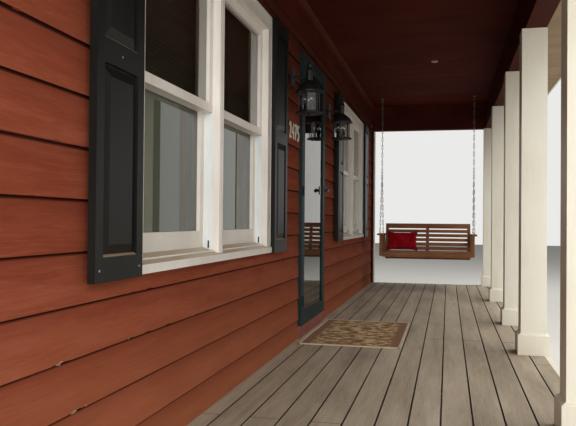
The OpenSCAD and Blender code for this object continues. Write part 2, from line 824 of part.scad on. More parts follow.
module gable_ends() {
    gable_top = rafter_line(0) + rafter_v;
    color("sienna") both_sides() intersection() {
        union() {
            slab(end_beam_in, end_beam_out, wall_trim_t, trim_out, beam_top, gable_top);
            translate([end_beam_out, out(trim_out), 0]) rotate([90, 0, 180]) mirror([1, 0, 0])
                linear_extrude(trim_out - wall_trim_t)
                    polygon(lap_profile(beam_top, gable_top, beam_top + siding_course));
        }
        along_x(end_beam_in - 1, gable_out + 1, [
            [wall_trim_t, beam_top], [beam_in, beam_top], [trim_out, beam_top],
            [trim_out, rafter_line(trim_out) + rafter_v - slope_gap],
            [wall_trim_t, rafter_line(wall_trim_t) + rafter_v - slope_gap]]);
    }
}

// Places the swing's own frame: u to the back along X, v across the seat, heights above the deck
module on_swing() {
    translate([swing_x, out(swing_out), deck_top]) children();
}

module swing_seat() {
    rail_low = seat_z - seat_rail_h;
    slat_step = (seat_depth - 2 * seat_rail_t) / seat_slats;
    color("saddlebrown") on_swing() {
        translate([-seat_depth / 2, -seat_half, rail_low]) cube([seat_rail_t, 2 * seat_half, seat_rail_h]);
        translate([seat_depth / 2 - seat_rail_t, -seat_half, seat_z - rear_rail_h])
            cube([seat_rail_t, 2 * seat_half, rear_rail_h]);
        for (v = [-seat_half, -seat_rail_t / 2, seat_half - seat_rail_t])
            translate([-seat_depth / 2, v, rail_low]) cube([seat_depth, seat_rail_t, seat_rail_h - slat_t]);
        for (i = [0:seat_slats - 1])
            translate([-seat_depth / 2 + seat_rail_t + i * slat_step + 4, -seat_half, seat_z - slat_t])
                cube([slat_step - 8, 2 * seat_half, slat_t]);
    }
}

// Tilts children so that their +Z runs up the leaning back, from the seat's top rear edge
module up_the_back() {
    on_swing() translate([seat_depth / 2, 0, seat_z]) rotate([0, back_lean, 0]) children();
}

module swing_back() {
    upright_t = 32;
    upright_w = 40;
    half = seat_half - slope_gap;
    slat_zone = back_len - back_top_rail - 12;
    step = slat_zone / back_slats;
    color("saddlebrown") difference() {
        up_the_back() {
            for (v = [-half, -upright_w / 2, half - upright_w])
                translate([0, v, -rear_rail_h]) cube([upright_t, upright_w, back_len + rear_rail_h]);
            translate([-back_slat_t, -half, back_len - back_top_rail])
                cube([back_slat_t, 2 * half, back_top_rail]);
            for (i = [0:back_slats - 1])
                translate([-back_slat_t, -half, 12 + i * step]) cube([back_slat_t, 2 * half, back_slat_h]);
        }
        on_swing() translate([0, -seat_half - 1, 0]) cube([seat_depth / 2, 2 * seat_half + 2, seat_z]);
    }
}

module swing_arms() {
    post_w = 46;
    post_t = 40;
    post_low = seat_z - seat_rail_h + 10;
    color("saddlebrown") on_swing() for (s = [-1, 1]) scale([1, s, 1]) {
        translate([-seat_depth / 2 - 20, arm_in, arm_z - arm_t]) cube([arm_l, arm_w, arm_t]);
        for (u = [-seat_depth / 2 + 8, seat_depth / 2 + 12 - post_w])
            translate([u, arm_in, post_low]) cube([post_w, post_t, arm_z - arm_t - post_low]);
        for (u = [front_eye_u, back_eye_u]) translate([u, eye_v, eye_z]) rotate([90, 0, 0])
            rotate_extrude($fn = 48) translate([eye_r, 0]) circle(r = eye_wire, $fn = 24);
    }
}

// Round wire bent to a long link that lies in the XZ plane, centred at the origin
module link(total) {
    straight = round(50 * (total - 2 * link_r)) / 50;
    for (s = [-1, 1]) {
        translate([s * link_r, 0, -straight / 2]) cylinder(r = wire_r, h = straight, $fn = 24);
        translate([0, 0, s * straight / 2]) rotate([s * 90, 0, 0])
            rotate_extrude(angle = 180, $fn = 48) translate([link_r, 0]) circle(r = wire_r, $fn = 24);
    }
}

// Chain of alternating links between two anchor wires, with an even or an odd number of links
module chain(from, to, anchor_from, anchor_to, extra) {
    d = to - from;
    len = norm(d);
    n = 2 * round((len / link_pitch - extra) / 2) + extra;
    reach_from = wire_r + anchor_from + link_clear;
    reach_to = wire_r + anchor_to + link_clear;
    bite = 2 * wire_r + link_clear;
    total = (len + reach_from + reach_to + (n - 1) * bite) / n;
    translate(from) rotate([0, acos(d[2] / len), atan2(d[1], d[0])])
        for (i = [0:n - 1]) translate([0, 0, -reach_from + total / 2 + i * (total - bite)])
            rotate([0, 0, 90 * (i % 2) + (d[0] == 0 ? 0 : 90)]) link(total);
}

module swing_chains() {
    hook_u = hook_x - swing_x;
    ring = [hook_u, 0, ring_z];
    color("dimgray") on_swing() for (s = [-1, 1]) translate([0, s * eye_v, 0]) {
        translate(ring) rotate([90, 0, 0])
            rotate_extrude($fn = 48) translate([ring_r, 0]) circle(r = ring_wire, $fn = 24);
        chain([hook_u, 0, pivot_z - deck_top], ring + [0, 0, ring_r], eye_wire, ring_wire, 0);
        for (u = [front_eye_u, back_eye_u]) {
            eye = [u, 0, eye_z];
            dir = (eye - ring) / norm(eye - ring);
            chain(ring + ring_r * dir, eye - eye_r * dir, ring_wire, eye_wire, 1);
        }
    }
}

// Two hangers under the ceiling, each a round pin between the cheeks of a yoke
module swing_hooks() {
    color("dimgray") for (s = [-1, 1]) translate([hook_x, out(swing_out) + s * eye_v, pivot_z]) {
        translate([0, yoke_in + yoke_t + 2, 0]) rotate([90, 0, 0])
            cylinder(r = eye_wire, h = 2 * (yoke_in + yoke_t + 2), $fn = 32);
        for (y = [-yoke_in - yoke_t, yoke_in]) translate([0, y, 0]) {
            rotate([-90, 0, 0]) cylinder(r = yoke_r, h = yoke_t, $fn = 32);
            translate([-yoke_r, 0, 0]) cube([2 * yoke_r, yoke_t, hook_drop - yoke_t]);
        }
        translate([0, 0, hook_drop - yoke_t]) cylinder(r = 22, h = yoke_t, $fn = 32);
    }
}

module swing_pillow() {
    color("firebrick") up_the_back()
        translate([-back_slat_t - 0.5 - pillow_t, pillow_side - pillow_w / 2, -2.5])
            cube([pillow_t, pillow_w, pillow_h]);
}

module door_mat() {
    color("tan") translate([mat_x, out(mat_out), deck_top]) rotate([0, 0, mat_turn])
        translate([-mat_l / 2, -mat_w / 2, 0]) cube([mat_l, mat_w, mat_t]);
}

foundation();
wall_lower();
wall_piers();
wall_upper();
lap_siding();
corner_boards();
wall_frieze();
left_window_frame();
left_window_sashes();
right_window_frame();
right_window_sashes();
window_glass();
window_blinds();
shutters();
door_frame();
door_sill();
entry_door();
storm_door();
storm_door_glass();
storm_door_handle();
left_lantern();
right_lantern();
lantern_glass();
deck_boards();
deck_joists();
deck_rim();
deck_pads();
deck_edge_trim();
entry_posts();
middle_posts();
corner_posts();
front_beam();
end_beams();
ceiling();
ceiling_cover();
roof_frame();
roof_shingles();
eave_soffit();
fascia_boards();
gable_ends();
swing_seat();
swing_back();
swing_arms();
swing_chains();
swing_hooks();
swing_pillow();
door_mat();
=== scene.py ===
import math
from functools import partial

import bpy
from mathutils import Matrix, Vector, noise


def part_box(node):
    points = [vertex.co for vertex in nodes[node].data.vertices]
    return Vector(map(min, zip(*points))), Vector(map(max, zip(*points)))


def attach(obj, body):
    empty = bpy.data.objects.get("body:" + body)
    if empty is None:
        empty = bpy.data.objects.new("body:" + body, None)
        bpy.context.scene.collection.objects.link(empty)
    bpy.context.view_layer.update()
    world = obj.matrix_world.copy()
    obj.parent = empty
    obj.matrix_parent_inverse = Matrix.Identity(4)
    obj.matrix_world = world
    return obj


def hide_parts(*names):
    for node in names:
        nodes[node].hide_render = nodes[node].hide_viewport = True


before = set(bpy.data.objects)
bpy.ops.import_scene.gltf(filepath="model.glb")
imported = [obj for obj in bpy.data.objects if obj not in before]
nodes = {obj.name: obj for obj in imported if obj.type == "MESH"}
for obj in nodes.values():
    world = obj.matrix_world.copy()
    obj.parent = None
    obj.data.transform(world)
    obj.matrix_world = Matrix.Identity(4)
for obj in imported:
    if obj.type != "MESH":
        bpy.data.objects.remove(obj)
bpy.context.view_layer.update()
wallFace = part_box("wall_upper")[0].y      # the sheathing that the siding is nailed to
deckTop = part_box("deck_boards")[1].z      # heights on the porch are counted from here


def outFromWall(distance):
    return wallFace - distance


def aboveDeck(height):
    return deckTop + height


# Mesh work, as by hand

def clearSelection():
    active = bpy.context.view_layer.objects.active
    if active and active.mode != "OBJECT":
        bpy.ops.object.mode_set(mode="OBJECT")
    bpy.ops.object.select_all(action="DESELECT")


def pick(*pieces):
    clearSelection()
    for piece in pieces:
        piece.select_set(True)
    bpy.context.view_layer.objects.active = pieces[0]


def settle(name=None):
    piece = bpy.context.object
    pick(piece)
    bpy.ops.object.transform_apply(location=True, rotation=True, scale=True)
    if name:
        piece.name = name
    return piece


def bevelAll(piece, width, segments=1):
    pick(piece)
    bpy.ops.object.mode_set(mode="EDIT")
    bpy.ops.mesh.select_all(action="SELECT")
    bpy.ops.mesh.bevel(offset=width, segments=segments, affect="EDGES", clamp_overlap=True)
    bpy.ops.object.mode_set(mode="OBJECT")
    return piece


def block(low, high, bevel=0, segments=1):
    low, high = Vector(low), Vector(high)
    clearSelection()
    bpy.ops.mesh.primitive_cube_add(size=1, location=(low + high) / 2, scale=high - low)
    piece = settle()
    return bevelAll(piece, bevel, segments) if bevel else piece


def rod(centre, radius, length, axis="Z", sides=16, bevel=0):
    turn = {"X": (0, math.pi / 2, 0), "Y": (math.pi / 2, 0, 0), "Z": (0, 0, 0)}[axis]
    clearSelection()
    bpy.ops.mesh.primitive_cylinder_add(vertices=sides, radius=radius, depth=length, location=centre,
                                        rotation=turn)
    piece = settle()
    return bevelAll(piece, bevel, 2) if bevel else piece


def modify(piece, kind, **settings):
    pick(piece)
    modifier = piece.modifiers.new(kind.lower(), kind)
    for name, value in settings.items():
        setattr(modifier, name, value)
    bpy.ops.object.modifier_apply(modifier=modifier.name)
    return piece


def repeat(piece, count, step):
    return modify(piece, "ARRAY", count=count, use_relative_offset=False, use_constant_offset=True,
                  constant_offset_displace=step)


def divideAlong(piece, axis, parts):
    pick(piece)
    bpy.ops.object.mode_set(mode="EDIT")
    bpy.ops.mesh.select_mode(type="EDGE")
    bpy.ops.mesh.select_all(action="DESELECT")
    bpy.ops.object.mode_set(mode="OBJECT")
    points = piece.data.vertices
    for edge in piece.data.edges:
        start, end = (points[number].co for number in edge.vertices)
        edge.select = abs(start[axis] - end[axis]) > 0.6 * (start - end).length
    bpy.ops.object.mode_set(mode="EDIT")
    bpy.ops.mesh.subdivide(number_cuts=parts - 1)
    bpy.ops.mesh.select_mode(type="VERT")
    bpy.ops.object.mode_set(mode="OBJECT")
    return piece


def turned(centre, profile, sides=32):
    # a disc drawn up into rings, each moved to its (height, radius)
    x, y, z = centre
    tall = profile[-1][0]
    piece = divideAlong(rod((x, y, z + tall / 2), 1, tall, sides=sides), 2, len(profile) - 1)
    for corner in piece.data.vertices:
        height, radius = profile[round((corner.co.z - z) / tall * (len(profile) - 1))]
        corner.co = (x + (corner.co.x - x) * radius, y + (corner.co.y - y) * radius, z + height)
    return piece


def moveMesh(piece, move=(0, 0, 0), turn=0, axis="X", scale=(1, 1, 1)):
    # scaled, then turned about the origin, then moved
    turning = Matrix.Rotation(math.radians(turn), 4, axis)
    piece.data.transform(Matrix.Translation(move) @ turning @ Matrix.Diagonal((*scale, 1)))


def copyTo(piece, move):
    twin = piece.copy()
    twin.data = piece.data.copy()
    moveMesh(twin, move)
    bpy.context.collection.objects.link(twin)
    return twin


def join(pieces, name):
    pick(*pieces)
    if len(pieces) > 1:
        bpy.ops.object.join()
    piece = bpy.context.object
    piece.name = name
    return piece


def smooth(piece, degrees=35):
    pick(piece)
    bpy.ops.object.shade_smooth_by_angle(angle=math.radians(degrees))
    return piece


def fit(piece, body, slot, material, *replaced):
    piece.data.materials.clear()
    piece.data.materials.append(material)
    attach(piece, body)
    if replaced:
        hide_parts(*replaced)
    return piece


def paint(material, *names):
    for name in names:
        nodes[name].data.materials.clear()
        nodes[name].data.materials.append(material)


# Materials

def linear(hexColour):
    parts = [int(hexColour[i:i + 2], 16) / 255 for i in (1, 3, 5)]
    return [c / 12.92 if c <= 0.04045 else ((c + 0.055) / 1.055) ** 2.4 for c in parts] + [1]


def addNode(tree, kind, settings=None, inputs=None, stops=None):
    # one word of settings is the operation; inputs go by name or in order; a node means its first output
    node = tree.nodes.new("ShaderNode" + kind)
    if isinstance(settings, str):
        settings = {"operation": settings}
    for name, value in (settings or {}).items():
        setattr(node, name, value)
    for key, value in inputs.items() if isinstance(inputs, dict) else enumerate(inputs or []):
        if isinstance(value, bpy.types.Node):
            value = value.outputs[0]
        if isinstance(value, bpy.types.NodeSocket):
            tree.links.new(value, node.inputs[key])
        else:
            node.inputs[key].default_value = value
    for number, (place, colour) in enumerate(stops or []):
        element = node.color_ramp.elements[number] if number < 2 else node.color_ramp.elements.new(place)
        element.position = place
        element.color = linear(colour)
    return node


def startMaterial(name, roughness, **sockets):
    material = bpy.data.materials.new(name)
    material.use_nodes = True
    tree = material.node_tree
    tree.nodes.clear()
    add = partial(addNode, tree)
    others = {socket.replace("_", " "): value for socket, value in sockets.items()}
    shader = add("BsdfPrincipled", inputs={"Roughness": roughness, **others})
    add("OutputMaterial", inputs={"Surface": shader})
    return material, add, shader, add("TexCoord").outputs["Object"]


def spots(add, place, size, detail=4.0, roughness=0.55):
    # noise with spots of this size in mm
    scaled = add("Mapping", inputs={"Vector": place, "Scale": [1000 / side for side in size]})
    return add("TexNoise", inputs={"Vector": scaled, "Scale": 1.0, "Detail": detail,
                                             "Roughness": roughness})


def boardTone(add, place, axis, first, pitch, amount):
    # a tone of its own for each board, counted from the first one
    along = add("SeparateXYZ", inputs=[place]).outputs[axis]
    count = add("Math", "SUBTRACT", [along, first])
    share = add("Math", "DIVIDE", [count, pitch])
    board = add("Math", "FLOOR", [share])
    drawn = add("TexWhiteNoise", {"noise_dimensions": "1D"}, {"W": board})
    return add("Math", "MULTIPLY_ADD", [drawn, amount, -amount / 2]), share


def facingUp(add, start, full):
    normal = add("SeparateXYZ", inputs=[add("NewGeometry").outputs["Normal"]])
    return add("ValToRGB", inputs=[normal.outputs[2]], stops=[(start, "#000000"), (full, "#ffffff")])


def finishSurface(add, shader, colour, height=None, depth=0):
    links = shader.id_data.links
    links.new(colour, shader.inputs["Base Color"])
    if depth:
        raised = add("Bump", inputs={"Height": height, "Distance": depth, "Strength": 1.0})
        links.new(raised.outputs[0], shader.inputs["Normal"])


def grainedPaint(name, colours, grain, blotch, roughness=0.5, depth=0.0004, share=0.4, boards=None, dust=None,
                 gloss=0.5, spread=(0.3, 0.5, 0.7)):
    # brushed paint or stain over wood: soft blotches of tone, with the grain standing through in fine lines
    material, add, shader, place = startMaterial(name, roughness, Specular_IOR_Level=gloss)
    wide = spots(add, place, blotch, detail=3)
    fine = spots(add, place, grain, detail=6, roughness=0.65)
    part = add("Math", "MULTIPLY", [wide, 1 - share])
    factor = add("Math", "MULTIPLY_ADD", [fine, share, part])
    if boards:
        tone, _ = boardTone(add, place, *boards)
        factor = add("Math", "ADD", [factor, tone])
    colour = add("ValToRGB", inputs=[factor], stops=zip(spread, colours)).outputs[0]
    if dust:    # settled dirt, in patches on whatever faces up
        dustColour, dustAmount = dust
        patchy = add("Math", "MULTIPLY_ADD", [wide, 0.8, dustAmount - 0.4])
        thick = add("Math", {"operation": "MULTIPLY", "use_clamp": True},
                        [facingUp(add, 0.5, 0.75), patchy])
        colour = add("Mix", {"data_type": "RGBA"}, {
            0: thick, 6: colour, 7: linear(dustColour)}).outputs[2]
    finishSurface(add, shader, colour, fine, depth)
    return material


# painted shade under the ceiling and painted bounce light near the deck: the heights where each starts and is
# full, and how strong it is
sidingLook = dict(course=0.164, firstEdge=0.148, butt=0.014, thin=0.004, segment=0.02, tone=0.12,
                  wave=0.0012, waveRate=1.7, nick=0.008, nickRate=17, nickFrom=0.5, nickFull=0.3,
                  nailStep=0.406, nailStart=0.2, lastNail=0.03, nailUp=0.03, nailRadius=0.0034,
                  nailLong=0.0016, nailBevel=0.0003, nailOut=0.0012, nailClear=0.01, jointGap=0.0016,
                  ceilingShade=(1.35, 2.3, 0.75), deckBounceLight=(0.7, 0.05, 0.4),
                  joints=((2.42, -3.62), (-1.235, 0.82), (-0.72, 3.35), (1.55, -4.38), (2.9,), (1.2,),
                          (-4.3, 0.9)),
                  chips=((-3.785, 0.476, 0.03), (-3.7, 0.312, 0.035), (-3.64, 0.312, 0.02),
                         (-2.7, 0.476, 0.02), (-3.33, 0.476, 0.022), (-0.4, 0.312, 0.02), (1.9, 0.476, 0.03),
                         (2.6, 0.312, 0.02)), chipFlat=2.5)


def cedarStain():
    # solid red stain on rough-sawn cedar: matt, mottled, with faint sweeping grain, painted shade and a
    # painted shadow line under each lap, and bare chips; painted shade high up where the ceiling shelters it,
    # and painted bounce light near the deck
    look = sidingLook
    material, add, shader, place = startMaterial("red_solid_stain_on_cedar", 0.85, Specular_IOR_Level=0.04)
    tone, share = boardTone(add, place, 2, aboveDeck(look["firstEdge"]), look["course"], look["tone"])
    course = add("Math", "FLOOR", [share])
    lap = add("Math", "FRACT", [share])
    shift = add("CombineXYZ", inputs=[course, course])
    moved = add("VectorMath", "MULTIPLY_ADD", [shift, (5.3, 1.7, 0), place])
    log = add("Mapping", inputs={"Vector": moved, "Scale": (1.5, 5, 15)})
    rings = add("TexWave", {"bands_direction": "Z"}, {
        "Vector": log, "Scale": 1.0, "Distortion": 15.0, "Detail": 2.0, "Detail Scale": 0.7}).outputs[1]
    fine = spots(add, moved, (70, 4, 3), detail=4)
    wide = spots(add, moved, (380, 200, 45), detail=3)
    areas = spots(add, moved, (500, 300, 150), detail=1)
    crumbs = spots(add, place, (12, 12, 8), detail=3, roughness=0.7)
    soft = add("Math", "MULTIPLY_ADD", [wide, 0.6, tone])
    factor = add("Math", "MULTIPLY_ADD", [fine, 0.4, soft])
    base = add("ValToRGB", inputs=[factor],
                   stops=[(0.32, "#793a26"), (0.5, "#84422d"), (0.66, "#904d37")])
    crest = add("ValToRGB", inputs=[rings], stops=[(0.7, "#000000"), (1.0, "#ffffff")])
    patch = add("ValToRGB", inputs=[areas], stops=[(0.45, "#101010"), (0.65, "#585858")])
    grain = add("Math", "MULTIPLY", [crest, patch])
    # painted shade in the upper part of each course under the lap above, and a painted shadow line, ragged
    # along it, right under each lap's edge
    lapShade = add("ValToRGB", inputs=[lap], stops=[(0.45, "#000000"), (0.97, "#a8a8a8")])
    ragged = add("Math", "MULTIPLY_ADD", [wide, 0.04, lap])
    lapShadow = add("ValToRGB", inputs=[ragged], stops=[(0.94, "#000000"), (0.985, "#f4f4f4")])
    nearest = 9.0    # counted in the size of a chip
    for x, height, size in look["chips"]:
        stretch = look["chipFlat"] / size
        away = add("VectorMath", "MULTIPLY_ADD", [
            place, (1 / size, 0, stretch), (-x / size, 0, -stretch * aboveDeck(height))])
        distance = add("VectorMath", "LENGTH", [away]).outputs["Value"]
        nearest = add("Math", "MINIMUM", [nearest, distance])
    edge = add("Math", "MULTIPLY_ADD", [crumbs, 0.9, nearest])
    chipped = add("ValToRGB", inputs=[edge], stops=[(0.96, "#d0d0d0"), (1.0, "#000000")])
    up = add("SeparateXYZ", inputs=[place]).outputs[2]
    # painted shade high on the wall where the ceiling shelters it, and painted bounce light low near the
    # deck, each set by height
    deckBounceLight, ceilingShade = (add("MapRange", inputs={
        "Value": up, "From Min": aboveDeck(start), "From Max": aboveDeck(full), "To Max": amount})
        for start, full, amount in (look["deckBounceLight"], look["ceilingShade"]))
    stain = base
    # layers: grain, painted bounce light near the deck, painted shade under the laps, painted shade under the
    # ceiling, the painted lap shadow line, and bare chips
    for amount, colour in ((grain, "#ab6c52"), (deckBounceLight, "#b87450"), (lapShade, "#5c2418"), (ceilingShade, "#2c100a"),
                           (lapShadow, "#1c0805"), (chipped, "#c3a488")):
        stain = add("Mix", {"data_type": "RGBA"}, {0: amount, 6: stain, 7: linear(colour)}).outputs[2]
    relief = add("Math", "MULTIPLY_ADD", [rings, 0.12, fine])
    finishSurface(add, shader, stain, relief, 0.0005)
    return material


sidingStain = cedarStain()
creamPaint = grainedPaint(    # exterior latex, brushed along the boards: soft sheen and faint lines
    "cream_latex_paint", ("#d9d1bb", "#e9e3d0", "#f0ecdd"),
    grain=(6, 6, 260), blotch=(500, 500, 700), roughness=0.45, depth=0.0001)
windowPaint = grainedPaint(    # enamel on milled trim: smoother, with dust on what faces up
    "window_trim_enamel", ("#d5cbbe", "#e2dad0", "#ece6df"),
    grain=(9, 9, 200), blotch=(300, 300, 300), roughness=0.38, depth=0.00008, dust=("#b59c78", 0.85))
darkRedPaint = grainedPaint(    # latex on the beams: dark and nearly matt
    "dark_red_latex_paint", ("#3c170f", "#4a1e15", "#57271c"),
    grain=(220, 6, 6), blotch=(900, 400, 400), roughness=0.6, depth=0.0003, gloss=0.03)
ceilingPaint = grainedPaint(    # the same on narrow boards, each of its own tone
    "dark_red_ceiling_paint", ("#3a130d", "#4a1b13", "#57261b"),
    grain=(8, 240, 8), blotch=(700, 900, 400), roughness=0.75, depth=0.0003,
    boards=(0, 0, 0.14, 0.1), gloss=0.03)
shutterVinyl = grainedPaint(    # moulded black vinyl with a fine wood grain pressed in
    "moulded_black_vinyl", ("#0c0b0a", "#131210", "#1c1b18"),
    grain=(3, 3, 90), blotch=(300, 300, 500), roughness=0.4, depth=0.00012, dust=("#a08a70", 0.8), gloss=0.13)
doorEnamel = grainedPaint(    # baked enamel on aluminium: even and smooth, with little shine
    "dark_green_door_enamel", ("#1c2526", "#253031", "#2e3a3b"),
    grain=(2, 2, 2), blotch=(200, 200, 300), roughness=0.5, depth=0, gloss=0.06)
blackIron = grainedPaint(    # powder coat on cast and rolled iron, slightly pebbled
    "black_powder_coated_iron", ("#0f0f10", "#181819", "#232323"),
    grain=(1.2, 1.2, 1.2), blotch=(40, 40, 40), roughness=0.48, depth=0.00008)
thresholdPaint = grainedPaint(    # floor enamel on the sill: satin, with streaks
    "red_floor_enamel", ("#6b3025", "#80402f", "#93503d"),
    grain=(120, 5, 5), blotch=(200, 100, 100), roughness=0.5, depth=0.0003)
varnishedOak = grainedPaint(    # clear varnish on oak: brown grain under a shine
    "varnished_oak", ("#3b2115", "#573220", "#70432b"),
    grain=(4, 4, 150), blotch=(150, 150, 600), roughness=0.35, depth=0.0001, share=0.6)
stainedPine = grainedPaint(    # brown oil stain on pine, grain along the slats
    "brown_stained_pine", ("#482814", "#885127", "#ad7746"), spread=(0.25, 0.5, 0.75),
    grain=(6, 140, 4), blotch=(120, 400, 60), roughness=0.6, depth=0.0004, share=0.6)
treatedLumber = grainedPaint(    # bare lumber: dull yellow brown with long grain
    "treated_lumber", ("#8d7651", "#a68c63", "#bda57c"),
    grain=(5, 160, 5), blotch=(300, 600, 200), roughness=0.8, depth=0.0004, share=0.5)
castConcrete = grainedPaint(    # cast and left rough: grey, matt and slightly pitted
    "cast_concrete", ("#7f7c75", "#96938b", "#aaa79f"),
    grain=(4, 4, 4), blotch=(250, 250, 120), roughness=0.9, depth=0.0012)
wallPlaster = grainedPaint(    # rolled wall paint: even and matt
    "painted_wallboard", ("#d6d1c6", "#e0dcd2", "#e8e5dd"),
    grain=(3, 3, 3), blotch=(900, 900, 900), roughness=0.8, depth=0.0002)
soffitVinyl = grainedPaint(    # extruded vinyl panels: smooth, each of its own tone
    "tan_soffit_vinyl", ("#9a8160", "#a68b68", "#b09672"),
    grain=(90, 4, 4), blotch=(500, 300, 300), roughness=0.5, depth=0.0001,
    boards=(0, 0, 0.102, 0.25), gloss=0.2)
asphaltShingle = grainedPaint(    # stone granules on asphalt: matt and speckled
    "asphalt_shingle", ("#3b3531", "#544c46", "#6e655d"),
    grain=(3, 3, 3), blotch=(300, 140, 140), roughness=0.95, depth=0.0012, share=0.6)
chainZinc = grainedPaint(    # weathered zinc: dull grey with darker patches
    "weathered_zinc_chain", ("#4a4845", "#6b6965", "#8a8883"),
    grain=(2, 2, 2), blotch=(60, 60, 60), roughness=0.45, depth=0.00005)
whitePlastic = grainedPaint(    # moulded white ABS: smooth, a little shiny; drawn dim brown-grey as painted shade under the dark ceiling
    "white_abs_plastic_painted_shade", ("#85776a", "#93867a", "#a09488"),
    grain=(3, 3, 3), blotch=(30, 30, 30), roughness=0.4, depth=0)
sheerVoile = grainedPaint(    # thin woven cloth: matt white with upright threads
    "sheer_white_voile", ("#d5d3cd", "#e2e0da", "#ebeae5"),
    grain=(1.5, 1.5, 60), blotch=(60, 60, 400), roughness=0.95, depth=0.0002)
blindFabric = grainedPaint(    # dark slats: matt brown with fine lines along them
    "dark_brown_blind_slats", ("#4e4741", "#605852", "#706862"),
    grain=(120, 2, 2), blotch=(300, 40, 40), roughness=0.6, depth=0.0002)
paleBlindFabric = grainedPaint(    # the same in cream
    "cream_blind_slats", ("#b9ad95", "#c8bda6", "#d6ccb8"),
    grain=(120, 2, 2), blotch=(300, 40, 40), roughness=0.6, depth=0.0002)
linerVinyl = grainedPaint(    # extruded white vinyl, cooler than the paint round it
    "white_jamb_liner_vinyl", ("#c6ccca", "#d6dbd9", "#e3e7e5"),
    grain=(3, 3, 120), blotch=(60, 60, 300), roughness=0.35, depth=0)
numberMetal = grainedPaint(    # brushed and lacquered: pale, with a soft shine
    "brushed_nickel", ("#b5aa98", "#cabfae", "#dcd3c4"),
    grain=(1, 1, 20), blotch=(50, 50, 50), roughness=0.35, depth=0)
bindingTape = grainedPaint(    # woven tape sewn round the mat: pale and matt
    "mat_binding_tape", ("#b39d80", "#c8b598", "#d8c9ad"),
    grain=(2, 2, 2), blotch=(80, 80, 80), roughness=0.9, depth=0.0004)


def clearPane(name, tint, roughness, upper=None, far=None, screenTop=1.45):
    # float glass: smooth both sides; its tint is partly a screen and partly painted shade of the dark room
    # behind it
    material, add, shader, place = startMaterial(name, roughness, IOR=1.5, Transmission_Weight=1.0)
    shader.inputs["Base Color"].default_value = linear(tint)
    if upper:    # no screen above the meeting rails, and none over the far window
        parts = add("SeparateXYZ", inputs=[place])
        above = add("Math", "GREATER_THAN", [parts.outputs[2], aboveDeck(screenTop)])
        beyond = add("Math", "GREATER_THAN", [parts.outputs[0], 0.0])
        height = add("Mix", {"data_type": "RGBA"}, {0: above, 6: linear(tint), 7: linear(upper)})
        both = add("Mix", {"data_type": "RGBA"}, {0: beyond, 6: height.outputs[2], 7: linear(far)})
        finishSurface(add, shader, both.outputs[2])
    return material


# the dark lower tint is partly painted shade of the room behind; the upper and far tints are paler
windowPane = clearPane("float_glass_window", "#4b4f42", 0.01, upper="#c9c6ba", far="#c2bda9")
stormPane = clearPane("float_glass_storm_door", "#958f7c", 0.01)
lanternPane = clearPane("bevelled_lantern_glass", "#e8ecec", 0.02)


deckLook = dict(boardWidth=0.1364, gap=0.0065, firstGap=0.1, bevel=0.0015, tone=0.14, screwRadius=0.0042,
                screwLong=0.002, screwSink=0.0006, screwSide=0.035, screwEnd=0.019, joists=24,
                oddCuts=(-0.198,), evenCuts=(-2.574, 2.178), lastCuts=(-0.99,))


def deckStain():
    # solid deck stain worn thin by feet: streaks along the boards, pale scuffs, tan wood showing in places,
    # and painted shade on the boards' sides and bevels, where the gaps are
    look = deckLook
    material, add, shader, place = startMaterial("worn_grey_deck_stain", 0.75, Specular_IOR_Level=0.3)
    wide = spots(add, place, (900, 110, 400), detail=3)
    fine = spots(add, place, (190, 3.5, 60), detail=7, roughness=0.7)
    scuff = spots(add, place, (140, 30, 60), detail=6, roughness=0.75)
    part = add("Math", "MULTIPLY", [wide, 0.5])
    both = add("Math", "MULTIPLY_ADD", [fine, 0.5, part])
    pitch = look["boardWidth"] + look["gap"]
    tone, _ = boardTone(add, place, 1, outFromWall(look["firstGap"]), pitch, look["tone"])
    factor = add("Math", "ADD", [both, tone])
    base = add("ValToRGB", inputs=[factor],
                   stops=[(0.28, "#776a5a"), (0.5, "#a69781"), (0.74, "#c5b7a2")])
    worn = add("ValToRGB", inputs=[scuff], stops=[(0.6, "#000000"), (0.72, "#7d7d7d")])
    mixed = add("Mix", {"data_type": "RGBA"}, {0: worn, 6: base, 7: linear("#cfbda1")})
    # painted shade in the gaps: whatever does not face up is drawn dark
    gapShade = add("Mix", {"data_type": "RGBA"}, {
        0: facingUp(add, 0.6, 0.95), 6: linear("#1f1a16"), 7: mixed.outputs[2]})
    finishSurface(add, shader, gapShade.outputs[2], fine, 0.0006)
    return material


deckPaint = deckStain()
print("materials ready")


# The deck

def deckBoards():
    look = deckLook
    low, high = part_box("deck_boards")
    pitch = look["boardWidth"] + look["gap"]
    edge = outFromWall(look["firstGap"])
    rows = [(edge + look["gap"] / 2, high.y)]
    while edge > low.y + look["gap"]:
        rows.append((max(edge - pitch + look["gap"] / 2, low.y), edge - look["gap"] / 2))
        edge -= pitch
    boards = []
    for number, (near, far) in enumerate(rows):
        cuts = look["oddCuts"] if number % 2 else look["evenCuts"]
        if number == len(rows) - 1:
            cuts = look["lastCuts"]
        ends = [low.x, *cuts, high.x]
        for start, end in zip(ends, ends[1:]):
            left = start + (look["gap"] / 3 if start > low.x else 0)
            right = end - (look["gap"] / 3 if end < high.x else 0)
            boards.append(block((left, near, low.z), (right, far, high.z), look["bevel"]))
    fit(join(boards, "deck_boards_laid"), "porch", "deck_wood", deckPaint, "deck_boards")
    firstRow = outFromWall(look["firstGap"]) - pitch / 2
    side = high.x - look["screwEnd"]
    step = 2 * side / (look["joists"] - 1)
    reach = look["boardWidth"] / 2 - look["screwSide"]
    screws = []
    for offset in (-reach, reach):
        place = (-side, firstRow + offset, high.z - look["screwSink"])
        screw = rod(place, look["screwRadius"], look["screwLong"], sides=8)
        repeat(screw, look["joists"], (step, 0, 0))
        screws.append(repeat(screw, len(rows) - 2, (0, -pitch, 0)))
    fit(join(screws, "deck_screws"), "porch", "chain_steel", chainZinc)


